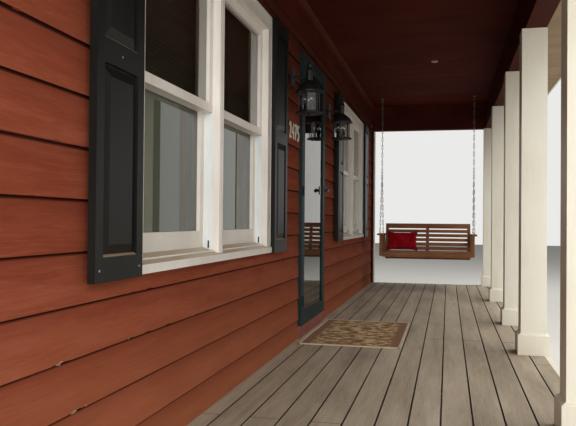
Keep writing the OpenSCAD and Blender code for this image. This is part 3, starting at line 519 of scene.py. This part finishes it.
deckBoards()
print("deck laid")


# The wall and its windows

blindLook = dict(pitch=0.019, width=0.024, thick=0.0012, tilt=80, headRail=0.03, footRail=0.012, side=0.012,
                 inset=0.001, bevel=0.002)


def windowBlinds():
    look = blindLook
    low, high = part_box("window_blinds")
    middle = (low.y + high.y) / 2
    mullion = windowLook["mullion"]
    count = int((high.z - low.z - look["headRail"]) / look["pitch"])
    for window, material in (("left", blindFabric), ("right", paleBlindFabric)):
        lowSash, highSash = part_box(f"{window}_window_sashes")
        slats = []
        centre = (lowSash.x + highSash.x) / 2
        unit = (highSash.x - lowSash.x - mullion) / 2
        half = unit / 2 - look["side"]
        for side in (-1, 1):
            x = centre + side * (mullion + unit) / 2
            slat = block((x - half, -look["width"] / 2, -look["thick"] / 2),
                         (x + half, look["width"] / 2, look["thick"] / 2))
            moveMesh(slat, (0, middle, low.z + look["pitch"]), look["tilt"])
            slats.append(repeat(slat, count, (0, 0, look["pitch"])))
            slats.append(block((x - half, low.y, high.z - look["headRail"]), (x + half, high.y, high.z),
                               look["bevel"]))
            slats.append(block((x - half, low.y + look["inset"], low.z),
                               (x + half, high.y - look["inset"], low.z + look["footRail"]), look["bevel"]))
        fit(join(slats, f"{window}_blind_slats"), "porch", "blind_cloth", material, "window_blinds")


# an Out is two distances out from the wall, negative ones inside it; a Height is two heights above the deck
windowLook = dict(casing=0.095, casingOut=0.032, mullion=0.06, sillTop=0.742, meeting=1.434, head=2.097,
                  sunk=0.001, gap=0.001, bevel=0.001, bead=0.012, beadOut=0.0025, beadBevel=0.0012,
                  band=0.014, bandOut=0.005, bandBevel=0.002, cover=0.024, coverOut=0.003,
                  trackOut=(0, 0.01), trackHeight=(0.752, 0.7605), liner=0.001, linerOut=(-0.044, -0.004),
                  linerFoot=0.75, rib=0.003, ribs=(0.012, 0.03), ribDeep=0.004, ribFoot=0.755,
                  ribBevel=0.0006, slot=0.0035, slotOut=(-0.0235, -0.0145), slotHeight=(0.768, 0.806))


def windowUnits():
    look = windowLook
    for side in ("left", "right"):
        low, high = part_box(f"{side}_window_frame")
        centre = (low.x + high.x) / 2
        opening = (high.x - low.x) / 2 - look["casing"]
        yield centre - opening, centre - look["mullion"] / 2
        yield centre + look["mullion"] / 2, centre + opening


def trimBlock(sides, out, height, bevel=0, segments=1):
    return block((sides[0], outFromWall(out[1]), aboveDeck(height[0])),
                 (sides[1], outFromWall(out[0]), aboveDeck(height[1])), bevel, segments)


def bothSides(left, right, wide):
    return (left, left + wide), (right - wide, right)


def windowTrim():
    look = windowLook
    face, gap, bead = look["casingOut"], look["gap"], look["bead"]
    beadOut, bandOut, coverOut = (
        (face - look["sunk"], face + look[key]) for key in ("beadOut", "bandOut", "coverOut"))
    sill, head, meeting = look["sillTop"], look["head"], look["meeting"]
    parts = []
    slots = []
    liners = []
    for left, right in windowUnits():
        for x in (left - bead - gap, right + gap):
            parts.append(trimBlock((x, x + bead), beadOut, (sill, head), look["beadBevel"], 2))
        parts.append(trimBlock((left, right), beadOut, (head + 2 * gap, head + bead), look["beadBevel"], 2))
        parts.append(trimBlock((left, right), look["trackOut"], look["trackHeight"], look["bevel"]))
        for sides in bothSides(left, right, look["liner"]):
            liners.append(trimBlock(sides, look["linerOut"], (look["linerFoot"], meeting)))
        for sides in bothSides(left, right, look["rib"]):
            for depth in look["ribs"]:
                liners.append(trimBlock(sides, (-depth - look["ribDeep"], -depth),
                                        (look["ribFoot"], meeting), look["ribBevel"]))
        for sides in bothSides(left, right, look["slot"]):
            slots.append(trimBlock(sides, look["slotOut"], look["slotHeight"], look["bevel"]))
    for side in ("left", "right"):
        low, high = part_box(f"{side}_window_frame")
        middle, half = (low.x + high.x) / 2, look["cover"] / 2
        top = high.z - deckTop
        parts.append(trimBlock((middle - half, middle + half), coverOut, (sill, head), look["bevel"]))
        for sides in bothSides(low.x, high.x, look["band"]):
            parts.append(trimBlock(sides, bandOut, (sill, top), look["bandBevel"], 2))
        parts.append(trimBlock((low.x, high.x), bandOut, (top - look["band"], top), look["bandBevel"], 2))
    fit(smooth(join(parts, "window_beads_and_tracks")), "porch", "window_trim", windowPaint)
    fit(join(liners, "jamb_liners"), "porch", "white_plastic", linerVinyl)
    fit(join(slots, "sash_tilt_slots"), "porch", "black_metal", blackIron)


curtainLook = dict(depth=0.108, bottom=0.79, top=2.06, gathered=0.13, pleats=5, swing=0.009, flare=0.5,
                   twist=2, rod=0.006, heading=0.008, behind=0.012, belly=0.004, samples=400)


def foldDepth(across, down, turn=0):
    # the folds deepen towards the hem
    look = curtainLook
    flare = (1 + look["flare"] * down) / (1 + look["flare"])
    return look["swing"] * flare * math.sin(across * look["pleats"] * 2 * math.pi + turn)


def curtains():
    # two sheer panels in each unit, drawn to its sides and gathered on a thin rod
    look = curtainLook
    tall = look["top"] + look["heading"] - look["bottom"]
    top = aboveDeck(look["top"])
    poles = []
    panels = []
    for number, (left, right) in enumerate(windowUnits()):
        middle = ((left + right) / 2, outFromWall(-look["depth"]), top)
        poles.append(rod(middle, look["rod"], right - left, "X", 12))
        for side, start in enumerate((left, right - look["gathered"])):
            clearSelection()
            bpy.ops.mesh.primitive_grid_add(x_subdivisions=60, y_subdivisions=24, size=1)
            panel = settle(f"curtain_{number}_{side}")
            for corner in panel.data.vertices:
                across, down = corner.co.x + 0.5, 0.5 - corner.co.y
                fold = foldDepth(across, down, number + look["twist"] * down)
                corner.co = (start + across * look["gathered"],
                             outFromWall(-look["depth"] - look["behind"]) - look["belly"] * down + fold,
                             top + look["heading"] - down * tall)
            panels.append(panel)
    rods = fit(smooth(join(poles, "curtain_rods")), "porch", "chain_steel", numberMetal)
    for panel in panels:
        fit(smooth(panel, 80), "porch", "blind_cloth", sheerVoile)


shutterLook = dict(width=0.335, lap=0.024, stile=0.048, rail=0.08, sink=0.012, ledge=0.009, lip=0.0008,
                   ledgeIn=0.0004, screwIn=0.027, screwUp=0.039, screwRadius=0.0045, screwLong=0.003,
                   screwBevel=0.0008)


def shutterTrim():
    # moulded ledges that gather dust below each sunk panel, and the screw heads
    look = shutterLook
    low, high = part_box("shutters")
    middle = (low.z + high.z) / 2
    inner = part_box("right_window_frame")[0].x + look["lap"]
    ledge = block((look["stile"], 0, 0), (look["width"] - look["stile"], look["sink"], look["ledge"]))
    for corner in ledge.data.vertices:
        if corner.co.y < 0.001 and corner.co.z > 0.001:
            corner.co.z = look["lip"]
    ledges = []
    heads = []
    for x in (low.x, -inner, inner - look["width"], high.x - look["width"]):
        for z in (low.z + look["rail"], middle + look["rail"] / 2):
            ledges.append(copyTo(ledge, (x, low.y + look["ledgeIn"], z)))
        left, right = x + look["screwIn"], x + look["width"] - look["screwIn"]
        bottom, top = low.z + look["screwUp"], high.z - look["screwUp"]
        for across, up in ((left, bottom), (right, bottom), ((left + right) / 2, middle), (left, top),
                           (right, top)):
            heads.append(rod((across, low.y, up), look["screwRadius"], look["screwLong"], "Y", sides=12,
                             bevel=look["screwBevel"]))
    bpy.data.objects.remove(ledge)
    fit(join(ledges, "shutter_panel_ledges"), "porch", "shutter_plastic", shutterVinyl)
    fit(smooth(join(heads, "shutter_screws")), "porch", "chain_steel", chainZinc)


def clapboard(left, right, bottom, top, course, number):
    # a wedge with its own slight bow, and nicks and chips in its lower edge
    look = sidingLook
    board = block((left, wallFace - 0.001, bottom), (right, wallFace, top))
    divideAlong(board, 0, max(2, round((right - left) / look["segment"])))
    for corner in board.data.vertices:
        if corner.co.y > wallFace - 0.0005:    # its back
            continue
        share = (corner.co.z - course[0]) / (course[1] - course[0])
        bow = noise.noise(Vector((corner.co.x * look["waveRate"], number * 3.3, 1.5))) * look["wave"]
        corner.co.y = wallFace - look["butt"] + share * (look["butt"] - look["thin"]) - bow * (1 - share)
        if corner.co.z < course[0] + 0.0001:
            ragged = noise.noise(Vector((corner.co.x * look["nickRate"], number * 5.1, 7.5)))
            nick = max(0, ragged - look["nickFrom"]) / look["nickFull"]
            chip = max([0] + [1 - abs(corner.co.x - x) / size for x, height, size in look["chips"]
                              if abs(aboveDeck(height) - course[0]) < 0.01])
            corner.co.z += bow + (nick + chip) * look["nick"]
    return board


def sidingBoards():
    look = sidingLook
    low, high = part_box("lap_siding")
    holes = [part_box(name) for name in ("left_window_frame", "right_window_frame", "door_frame")]
    holes[2][0].z = 0
    edges = [low.z]
    while edges[-1] < high.z - look["course"]:
        edges.append(aboveDeck(look["firstEdge"]) + (len(edges) - 1) * look["course"])
    edges.append(high.z)
    boards = []
    nails = []
    nail = rod((0, wallFace, 0), look["nailRadius"], look["nailLong"], "Y", sides=8, bevel=look["nailBevel"])
    nailY = look["nailOut"] - look["butt"]
    clear = look["nailClear"]
    for number, course in enumerate(zip(edges, edges[1:])):
        joints = look["joints"][number % len(look["joints"])]
        cuts = {x for a, b in holes for x in (a.x, b.x) if a.z < course[1] and b.z > course[0]}
        stops = sorted({low.x, high.x, *joints, *cuts})
        for left, right in zip(stops, stops[1:]):
            gapLeft, gapRight = (look["jointGap"] / 2 if x in joints else 0 for x in (left, right))
            spans = [course]
            for a, b in holes:
                if a.x < (left + right) / 2 < b.x:
                    spans = [part for start, end in spans
                             for part in ((start, min(end, a.z)), (max(start, b.z), end))
                             if part[1] - part[0] > 0.002]
            boards += [clapboard(left + gapLeft, right - gapRight, *span, course, number) for span in spans]
        height = course[0] + look["nailUp"]
        for place in range(int((high.x - low.x) / look["nailStep"])):
            x = low.x + look["nailStart"] + place * look["nailStep"]
            if not any(a.x - clear < x < b.x + clear and a.z - clear < height < b.z + clear
                       for a, b in holes):
                nails.append(copyTo(nail, (x, nailY, height)))
    fit(join(boards, "siding_boards"), "porch", "siding", sidingStain, "lap_siding")
    moveMesh(nail, (low.x + look["lastNail"], nailY, edges[1] + look["nailUp"]))
    nails.append(nail)
    fit(smooth(join(nails, "siding_nails")), "porch", "siding", sidingStain)


pilasterLook = dict(start=4.552, stop=4.5695, end=4.66, back=0.0225, stopOut=0.044, boardOut=0.0595,
                    gap=0.0005, endGap=0.001, bevel=0.003)


def cornerPilasters():
    # boards that close the siding at both ends of the wall: a dark stop, then a cream board
    look = pilasterLook
    foot, top = deckTop + look["endGap"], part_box("end_beams")[0].z - look["endGap"]
    stops = []
    boards = []
    for side in (-1, 1):
        start, stop, end = (side * look[key] for key in ("start", "stop", "end"))
        left, right = sorted((start, stop))
        stops.append(block((left, outFromWall(look["stopOut"]), foot), (right, wallFace, top),
                           look["bevel"], 2))
        left, right = sorted((stop, end))
        boards.append(block((left + look["gap"], outFromWall(look["boardOut"]), foot),
                            (right, outFromWall(look["back"]), top), look["bevel"], 2))
    fit(join(stops, "siding_end_stops"), "porch", "dark_trim", darkRedPaint)
    fit(join(boards, "corner_pilasters"), "porch", "cream_trim", creamPaint)


latchLook = dict(x=0.424, height=1.182, plate=(0.03, 0.008, 0.076), plateRound=0.004, stem=0.011,
                 stemBevel=0.001, standOff=0.024, overlap=0.004, lever=(0.085, 0.014, 0.03), past=0.014,
                 thickEnd=1.25, taper=0.6, droop=0.006, leverRound=0.003)


def doorLatch():
    # lever latch: rounded plate, turned stem, and a lever that thins towards its end
    look = latchLook
    face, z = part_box("storm_door")[0].y, aboveDeck(look["height"])
    x = look["x"]
    wide, thick, tall = look["plate"]
    plate = block((x - wide / 2, face - thick, z - tall / 2), (x + wide / 2, face, z + tall / 2),
                  look["plateRound"], 3)
    out = face - thick - look["standOff"]
    stem = rod((x, out + look["standOff"] / 2, z), look["stem"], look["standOff"] + look["overlap"], "Y", 20,
               look["stemBevel"])
    reach, deep, high = look["lever"]
    end = x + look["past"]
    lever = block((end - reach, out - deep / 2, z - high / 2), (end, out + deep / 2, z + high / 2))
    divideAlong(lever, 0, 8)
    for corner in lever.data.vertices:
        share = (end - corner.co.x) / reach
        thickness = look["thickEnd"] - look["taper"] * share
        corner.co.z = z + (corner.co.z - z) * thickness - look["droop"] * math.sin(share * math.pi / 2)
    bevelAll(lever, look["leverRound"], 2)
    fit(smooth(join([plate, stem, lever], "storm_door_latch")), "storm_leaf", "black_metal", blackIron,
        "storm_door_handle")


beadLook = dict(wide=0.007, out=0.003, lap=0.001, ends=0.002, gap=0.0003, bevel=0.0012)


def glassBead():
    # aluminium strip that holds the door glass along its hinge side
    look = beadLook
    low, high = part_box("storm_door_glass")
    bead = block((low.x - look["lap"], low.y - look["out"], low.z + look["ends"]),
                 (low.x + look["wide"], low.y - look["gap"], high.z - look["ends"]), look["bevel"], 2)
    fit(smooth(join([bead], "door_glass_bead")), "storm_leaf", "chain_steel", numberMetal)


numberLook = dict(digits="2475", height=0.118, left=-0.86, step=0.087, base=1.507, narrow=0.78, thick=0.006,
                  bevel=0.0008, digitShare=0.69)    # a digit's share of the font's size


def houseNumber():
    look = numberLook
    digits = []
    middle = outFromWall(sidingLook["butt"]) - look["thick"] / 2
    for place, digit in enumerate(look["digits"]):
        clearSelection()
        bpy.ops.object.text_add()
        text = bpy.context.object
        text.data.body = digit
        text.data.size = look["height"] / look["digitShare"]
        text.data.extrude = look["thick"] / 2
        text.data.bevel_depth = look["bevel"]
        bpy.ops.object.convert(target="MESH")
        text = bpy.context.object
        moveMesh(text, (look["left"] + place * look["step"], middle, aboveDeck(look["base"])), 90,
                 scale=(look["narrow"], 1, 1))
        digits.append(settle())
    fit(join(digits, "house_number"), "porch", "chain_steel", numberMetal)


sidingBoards()
print("siding nailed")
windowBlinds()
windowTrim()
curtains()
shutterTrim()
cornerPilasters()
doorLatch()
glassBead()
houseNumber()
print("wall dressed")


# The lanterns

lanternLook = dict(foot=0.014, radius=0.012, tall=0.045, ring=0.028, holder=0.074, roof=0.151, trayDrop=0.005,
                   dome=((0, 0.1035), (0.006, 0.1035), (0.011, 0.095), (0.024, 0.089), (0.042, 0.077),
                         (0.059, 0.06), (0.074, 0.041), (0.086, 0.0245)),
                   tray=((0, 0.09), (0.003, 0.099), (0.007, 0.099), (0.016, 0.088)))


def lanternParts():
    # candle bulbs, and the domed roof and flared tray pressed over the cage
    look = lanternLook
    bulbs = []
    metal = []
    for name in ("left_lantern", "right_lantern"):
        low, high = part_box(name)
        x = (low.x + high.x) / 2
        y = sum(corner.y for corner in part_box("lantern_glass")) / 2
        base = low.z + look["foot"]
        for turn in (0, 120, 240):
            angle = math.radians(turn)
            clearSelection()
            bpy.ops.mesh.primitive_uv_sphere_add(segments=12, ring_count=8, radius=look["radius"], location=(
                x + look["ring"] * math.cos(angle), y + look["ring"] * math.sin(angle),
                base + look["holder"] + look["tall"] / 2), scale=(1, 1, look["tall"] / 2 / look["radius"]))
            bulbs.append(settle())
        metal.append(turned((x, y, base + look["roof"]), look["dome"]))
        metal.append(turned((x, y, base - look["trayDrop"]), look["tray"]))
    fit(smooth(join(metal, "lantern_domes_and_trays"), 30), "porch", "black_metal", blackIron)
    fit(smooth(join(bulbs, "lantern_bulbs"), 60), "porch", "clear_glass", lanternPane)


lanternParts()
print("lanterns fitted")


# The roof

shingleLook = dict(slope=18.4, tab=0.31, slit=0.006, course=0.143, lap=0.01, thick=0.008, thin=0.003)


def shingle(left, right, start, end):
    # thick at its lower edge, thin at its upper one
    piece = block((left, start, 0), (right, end, shingleLook["thick"]))
    for corner in piece.data.vertices:
        if corner.co.y > end - 0.001 and corner.co.z > 0:
            corner.co.z = shingleLook["thin"]
    return piece


def roofShingles():
    look = shingleLook
    low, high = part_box("roof_shingles")
    slope = math.radians(look["slope"])
    lip = look["thick"] * math.sin(slope)    # the first course's butt leans out by this much
    run = (high.y - low.y - lip) / math.cos(slope)
    pitch = look["tab"] + look["slit"]
    half = pitch / 2 - look["slit"]
    tabs = int((high.x - low.x) / pitch)
    stretch = (high.x - low.x + look["slit"]) / (tabs * pitch)
    rows = []
    for number in range(math.ceil(run / look["course"])):
        start = number * look["course"]
        end = min(start + look["course"] + look["lap"], run)
        shift = pitch / 2 if number % 2 else 0
        tab = shingle(shift, shift + look["tab"], start, end)
        rows.append(repeat(tab, tabs - (1 if shift else 0), (pitch, 0, 0)))
        if shift:    # half tabs close both ends
            for left in (0, tabs * pitch - look["slit"] - half):
                rows.append(shingle(left, left + half, start, end))
    roof = join(rows, "shingle_courses")
    moveMesh(roof, (low.x, low.y + lip, low.z), look["slope"], scale=(stretch, 1, 1))
    fit(roof, "porch", "shingles", asphaltShingle, "roof_shingles")


roofShingles()
print("roof shingled")


# Soft goods

matLook = dict(thick=0.006, edge=0.02, inset=0.003, ripple=0.0012, rippleRate=(9, 7), border=0.08, ends=0.03,
               bindingLow=0.0002, bindingHigh=0.0088, bevel=0.002)


def matWeave(length, width):
    # flat-woven fibre: a matt brown field mottled with pale flecks, in a red-brown border with a ragged edge
    material, add, shader, place = startMaterial("flat_woven_mat", 0.92)
    fleck = spots(add, place, (60, 80, 30), detail=2)
    thread = spots(add, place, (5, 5, 5), detail=2)
    part = add("Math", "MULTIPLY", [fleck, 0.85])
    both = add("Math", "MULTIPLY_ADD", [thread, 0.15, part])
    field = add("ValToRGB", inputs=[both],
                    stops=[(0.43, "#74532f"), (0.5, "#9c7850"), (0.57, "#cbab7c")])
    sides = add("SeparateXYZ", inputs=[add("TexCoord").outputs["UV"]])
    far = []
    for axis, size, border in ((0, length, matLook["ends"]), (1, width, matLook["border"])):
        offset = add("Math", "SUBTRACT", [sides.outputs[axis], 0.5])
        distance = add("Math", "ABSOLUTE", [offset])
        far.append(add("Math", "MULTIPLY_ADD", [distance, size, border - size / 2]))
    most = add("Math", "MAXIMUM", far)
    ragged = add("Math", "MULTIPLY_ADD", [fleck, 5.0, -2.2])
    mask = add("Math", {"operation": "MULTIPLY_ADD", "use_clamp": True}, [most, 40.0, ragged])
    mixed = add("Mix", {"data_type": "RGBA"}, {0: mask, 6: field, 7: linear("#7f563d")})
    finishSurface(add, shader, mixed.outputs[2], thread, 0.0015)
    return material


def doorMat():
    look = matLook
    low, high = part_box("door_mat")
    middle, size = (low + high) / 2, high - low
    clearSelection()
    bpy.ops.mesh.primitive_grid_add(x_subdivisions=80, y_subdivisions=48, size=1)
    mat = settle("woven_mat")
    moveMesh(mat, scale=(size.x - look["inset"], size.y - look["inset"], 1))
    rateX, rateY = look["rippleRate"]
    for corner in mat.data.vertices:
        corner.co.z = look["ripple"] * (1 + math.sin(corner.co.x * rateX) * math.cos(corner.co.y * rateY))
    modify(mat, "SOLIDIFY", thickness=look["thick"], offset=1)
    halfX, halfY, edge = size.x / 2, size.y / 2, look["edge"]
    rim = []
    for left, right, near, far in (
            (-halfX, halfX, -halfY, -halfY + edge), (-halfX, halfX, halfY - edge, halfY),
            (-halfX, -halfX + edge, -halfY, halfY), (halfX - edge, halfX, -halfY, halfY)):
        rim.append(block((left, near, look["bindingLow"]), (right, far, look["bindingHigh"]), look["bevel"]))
    binding = join(rim, "mat_binding")
    for piece in (mat, binding):
        moveMesh(piece, (middle.x, middle.y, deckTop))
    fit(smooth(mat), "porch", "mat_fibre", matWeave(size.x, size.y), "door_mat")
    fit(smooth(binding), "porch", "mat_fibre", bindingTape)


def pillowCloth():
    # plain-woven red cotton: matt and even; the weave is drawn at 2 mm so that it shows
    material, add, shader, place = startMaterial("red_woven_cotton", 0.9, Sheen_Weight=0.05,
                                                  Specular_IOR_Level=0.1)
    warp = add("Mapping", inputs={"Vector": place, "Scale": (500, 500, 500)})
    weave = add("TexChecker", inputs={"Vector": warp, "Scale": 1.0})
    dye = add("ValToRGB", inputs=[spots(add, place, (90, 90, 90))],
                  stops=[(0.3, "#7d0813"), (0.5, "#9c0c1b"), (0.7, "#b21526")])
    finishSurface(add, shader, dye.outputs[0], weave.outputs[1], 0.0003)
    return material


pillowLook = dict(width=0.44, height=0.29, start=0.03, corner=0.012, lean=12, fromBack=0.055, clear=0.001,
                  voxel=0.006, pressure=4, frames=20, most=0.03)


def pillow():
    # a thin slab puffed up by cloth simulation, then leant back on the seat
    look = pillowLook
    low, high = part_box("swing_pillow")
    clearSelection()
    bpy.ops.mesh.primitive_cube_add(size=1, scale=(look["start"], look["width"], look["height"]))
    cushion = settle("red_pillow")
    bevelAll(cushion, look["corner"], 3)
    modify(cushion, "REMESH", mode="VOXEL", voxel_size=look["voxel"])
    rest = [corner.co.copy() for corner in cushion.data.vertices]
    cloth = cushion.modifiers.new("cloth", "CLOTH")
    cloth.settings.use_pressure = True
    cloth.settings.uniform_pressure_force = look["pressure"]
    cloth.settings.effector_weights.gravity = 0
    for step in range(1, look["frames"] + 1):
        bpy.context.scene.frame_set(step)
    pick(cushion)
    bpy.ops.object.modifier_apply(modifier="cloth")
    for corner, start in zip(cushion.data.vertices, rest):
        move = corner.co - start
        if move.length > look["most"]:
            corner.co = start + move.normalized() * look["most"]
    bpy.context.scene.frame_set(1)
    modify(cushion, "SUBSURF", levels=1, render_levels=1)
    corners = [corner.co for corner in cushion.data.vertices]
    moveMesh(cushion, (-max(co.x for co in corners), 0, -min(co.z for co in corners)))
    moveMesh(cushion, turn=look["lean"], axis="Y")
    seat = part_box("swing_seat")[1].z
    lift = seat + look["clear"] - min(corner.co.z for corner in cushion.data.vertices)
    moveMesh(cushion, (high.x - look["fromBack"], (low.y + high.y) / 2, lift))
    fit(smooth(cushion, 80), "swing", "pillow_cloth", pillowCloth(), "swing_pillow")


doorMat()
pillow()
print("soft goods placed")


# Finish of the CAD pieces

paint(castConcrete, "foundation", "deck_pads")
paint(wallPlaster, "wall_lower", "wall_piers", "wall_upper")
paint(sidingStain, "lap_siding", "gable_ends")
paint(creamPaint, "corner_boards", "deck_edge_trim", "entry_posts", "middle_posts", "corner_posts",
      "fascia_boards")
paint(darkRedPaint, "wall_frieze", "front_beam", "end_beams")
paint(ceilingPaint, "ceiling")
paint(windowPaint, "left_window_frame", "left_window_sashes", "right_window_frame", "right_window_sashes")
paint(windowPane, "window_glass")
paint(shutterVinyl, "shutters")
paint(doorEnamel, "door_frame", "storm_door")
paint(stormPane, "storm_door_glass")
paint(thresholdPaint, "door_sill")
paint(varnishedOak, "entry_door")
paint(blackIron, "left_lantern", "right_lantern")
paint(lanternPane, "lantern_glass")
paint(treatedLumber, "deck_joists", "deck_rim", "roof_frame")
paint(whitePlastic, "ceiling_cover")
paint(soffitVinyl, "eave_soffit")
paint(stainedPine, "swing_seat", "swing_back", "swing_arms")
paint(chainZinc, "swing_chains", "swing_hooks")
for name in ("swing_chains", "swing_hooks", "left_lantern", "right_lantern", "ceiling_cover"):
    smooth(nodes[name], 40)
print("CAD pieces finished")


# Studio and camera

studioLook = dict(floor="#dcd9d2", sky="#f2f2f0", skyLight=0.2, showBack=0.93)
viewLook = dict(along=-5.6, out=1.128, height=0.905, turn=13.245, tilt=0.667, roll=0.5, focal=680.4,
                frameWidth=576)    # focal length and frame width in pixels of the photo


def studio():
    look = studioLook
    clearSelection()
    bpy.ops.mesh.primitive_plane_add(size=60, location=(0, 0, -0.001))
    floor = settle("studio_floor")
    material, _, shader, _ = startMaterial("pale_studio_floor", 0.9)    # matt painted backdrop
    shader.inputs["Base Color"].default_value = linear(look["floor"])
    floor.data.materials.append(material)
    world = bpy.data.worlds.new("studio_sky")
    bpy.context.scene.world = world
    world.use_nodes = True
    world.node_tree.nodes.clear()
    add = partial(addNode, world.node_tree)
    seen = 0.0    # 1 for rays that show the backdrop, 0 for those that light the porch
    for ray in ("Camera", "Glossy", "Transmission"):
        path = add("LightPath").outputs[f"Is {ray} Ray"]
        seen = add("Math", "MAXIMUM", [seen, path])
    light, back = (add("Background", inputs={"Color": linear(look["sky"]), "Strength": look[key]})
                   for key in ("skyLight", "showBack"))
    add("OutputWorld", inputs=[add("MixShader", inputs=[seen, light, back])])


def lamp(name, place, target, size, power, spread=180):
    light = bpy.data.lights.new(name, "AREA")
    light.shape = "RECTANGLE"
    light.size, light.size_y = size
    light.energy = power
    light.spread = math.radians(spread)
    holder = bpy.data.objects.new(name, light)
    holder.visible_camera = False
    holder.location = place
    holder.rotation_euler = (Vector(target) - Vector(place)).to_track_quat("-Z", "Y").to_euler()
    bpy.context.collection.objects.link(holder)


def camera():
    look = viewLook
    turn, tilt, roll = (math.radians(look[key]) for key in ("turn", "tilt", "roll"))
    ahead = Vector((math.cos(turn) * math.cos(tilt), math.sin(turn) * math.cos(tilt), math.sin(tilt)))
    level = Vector((math.sin(turn), -math.cos(turn), 0))
    right = math.cos(roll) * level + math.sin(roll) * level.cross(ahead)
    up = right.cross(ahead)
    data = bpy.data.cameras.new("view")
    data.sensor_width = 36
    data.lens = look["focal"] / look["frameWidth"] * data.sensor_width
    data.clip_end = 200
    view = bpy.data.objects.new("view", data)
    view.matrix_world = Matrix((right, up, -ahead)).transposed().to_4x4()
    view.location = (look["along"], outFromWall(look["out"]), aboveDeck(look["height"]))
    bpy.context.collection.objects.link(view)
    bpy.context.scene.camera = view


studio()
lamp("front_softbox", (0, -3.6, 6.0), (0, 0, 0.4), (12, 3.5), 540)
lamp("distant_softbox", (-15, -3.2, 4.4), (-2, 0, 1), (5, 3), 560)
lamp("near_softbox", (-6.3, -0.5, 1.5), (-3, 0.8, 1.2), (3, 2.4), 42, spread=110)
lamp("rear_softbox", (0, 9, 9), (0, 3, 0), (18, 8), 1100)
camera()
bpy.context.scene.view_settings.view_transform = "Standard"
print("studio and camera set")
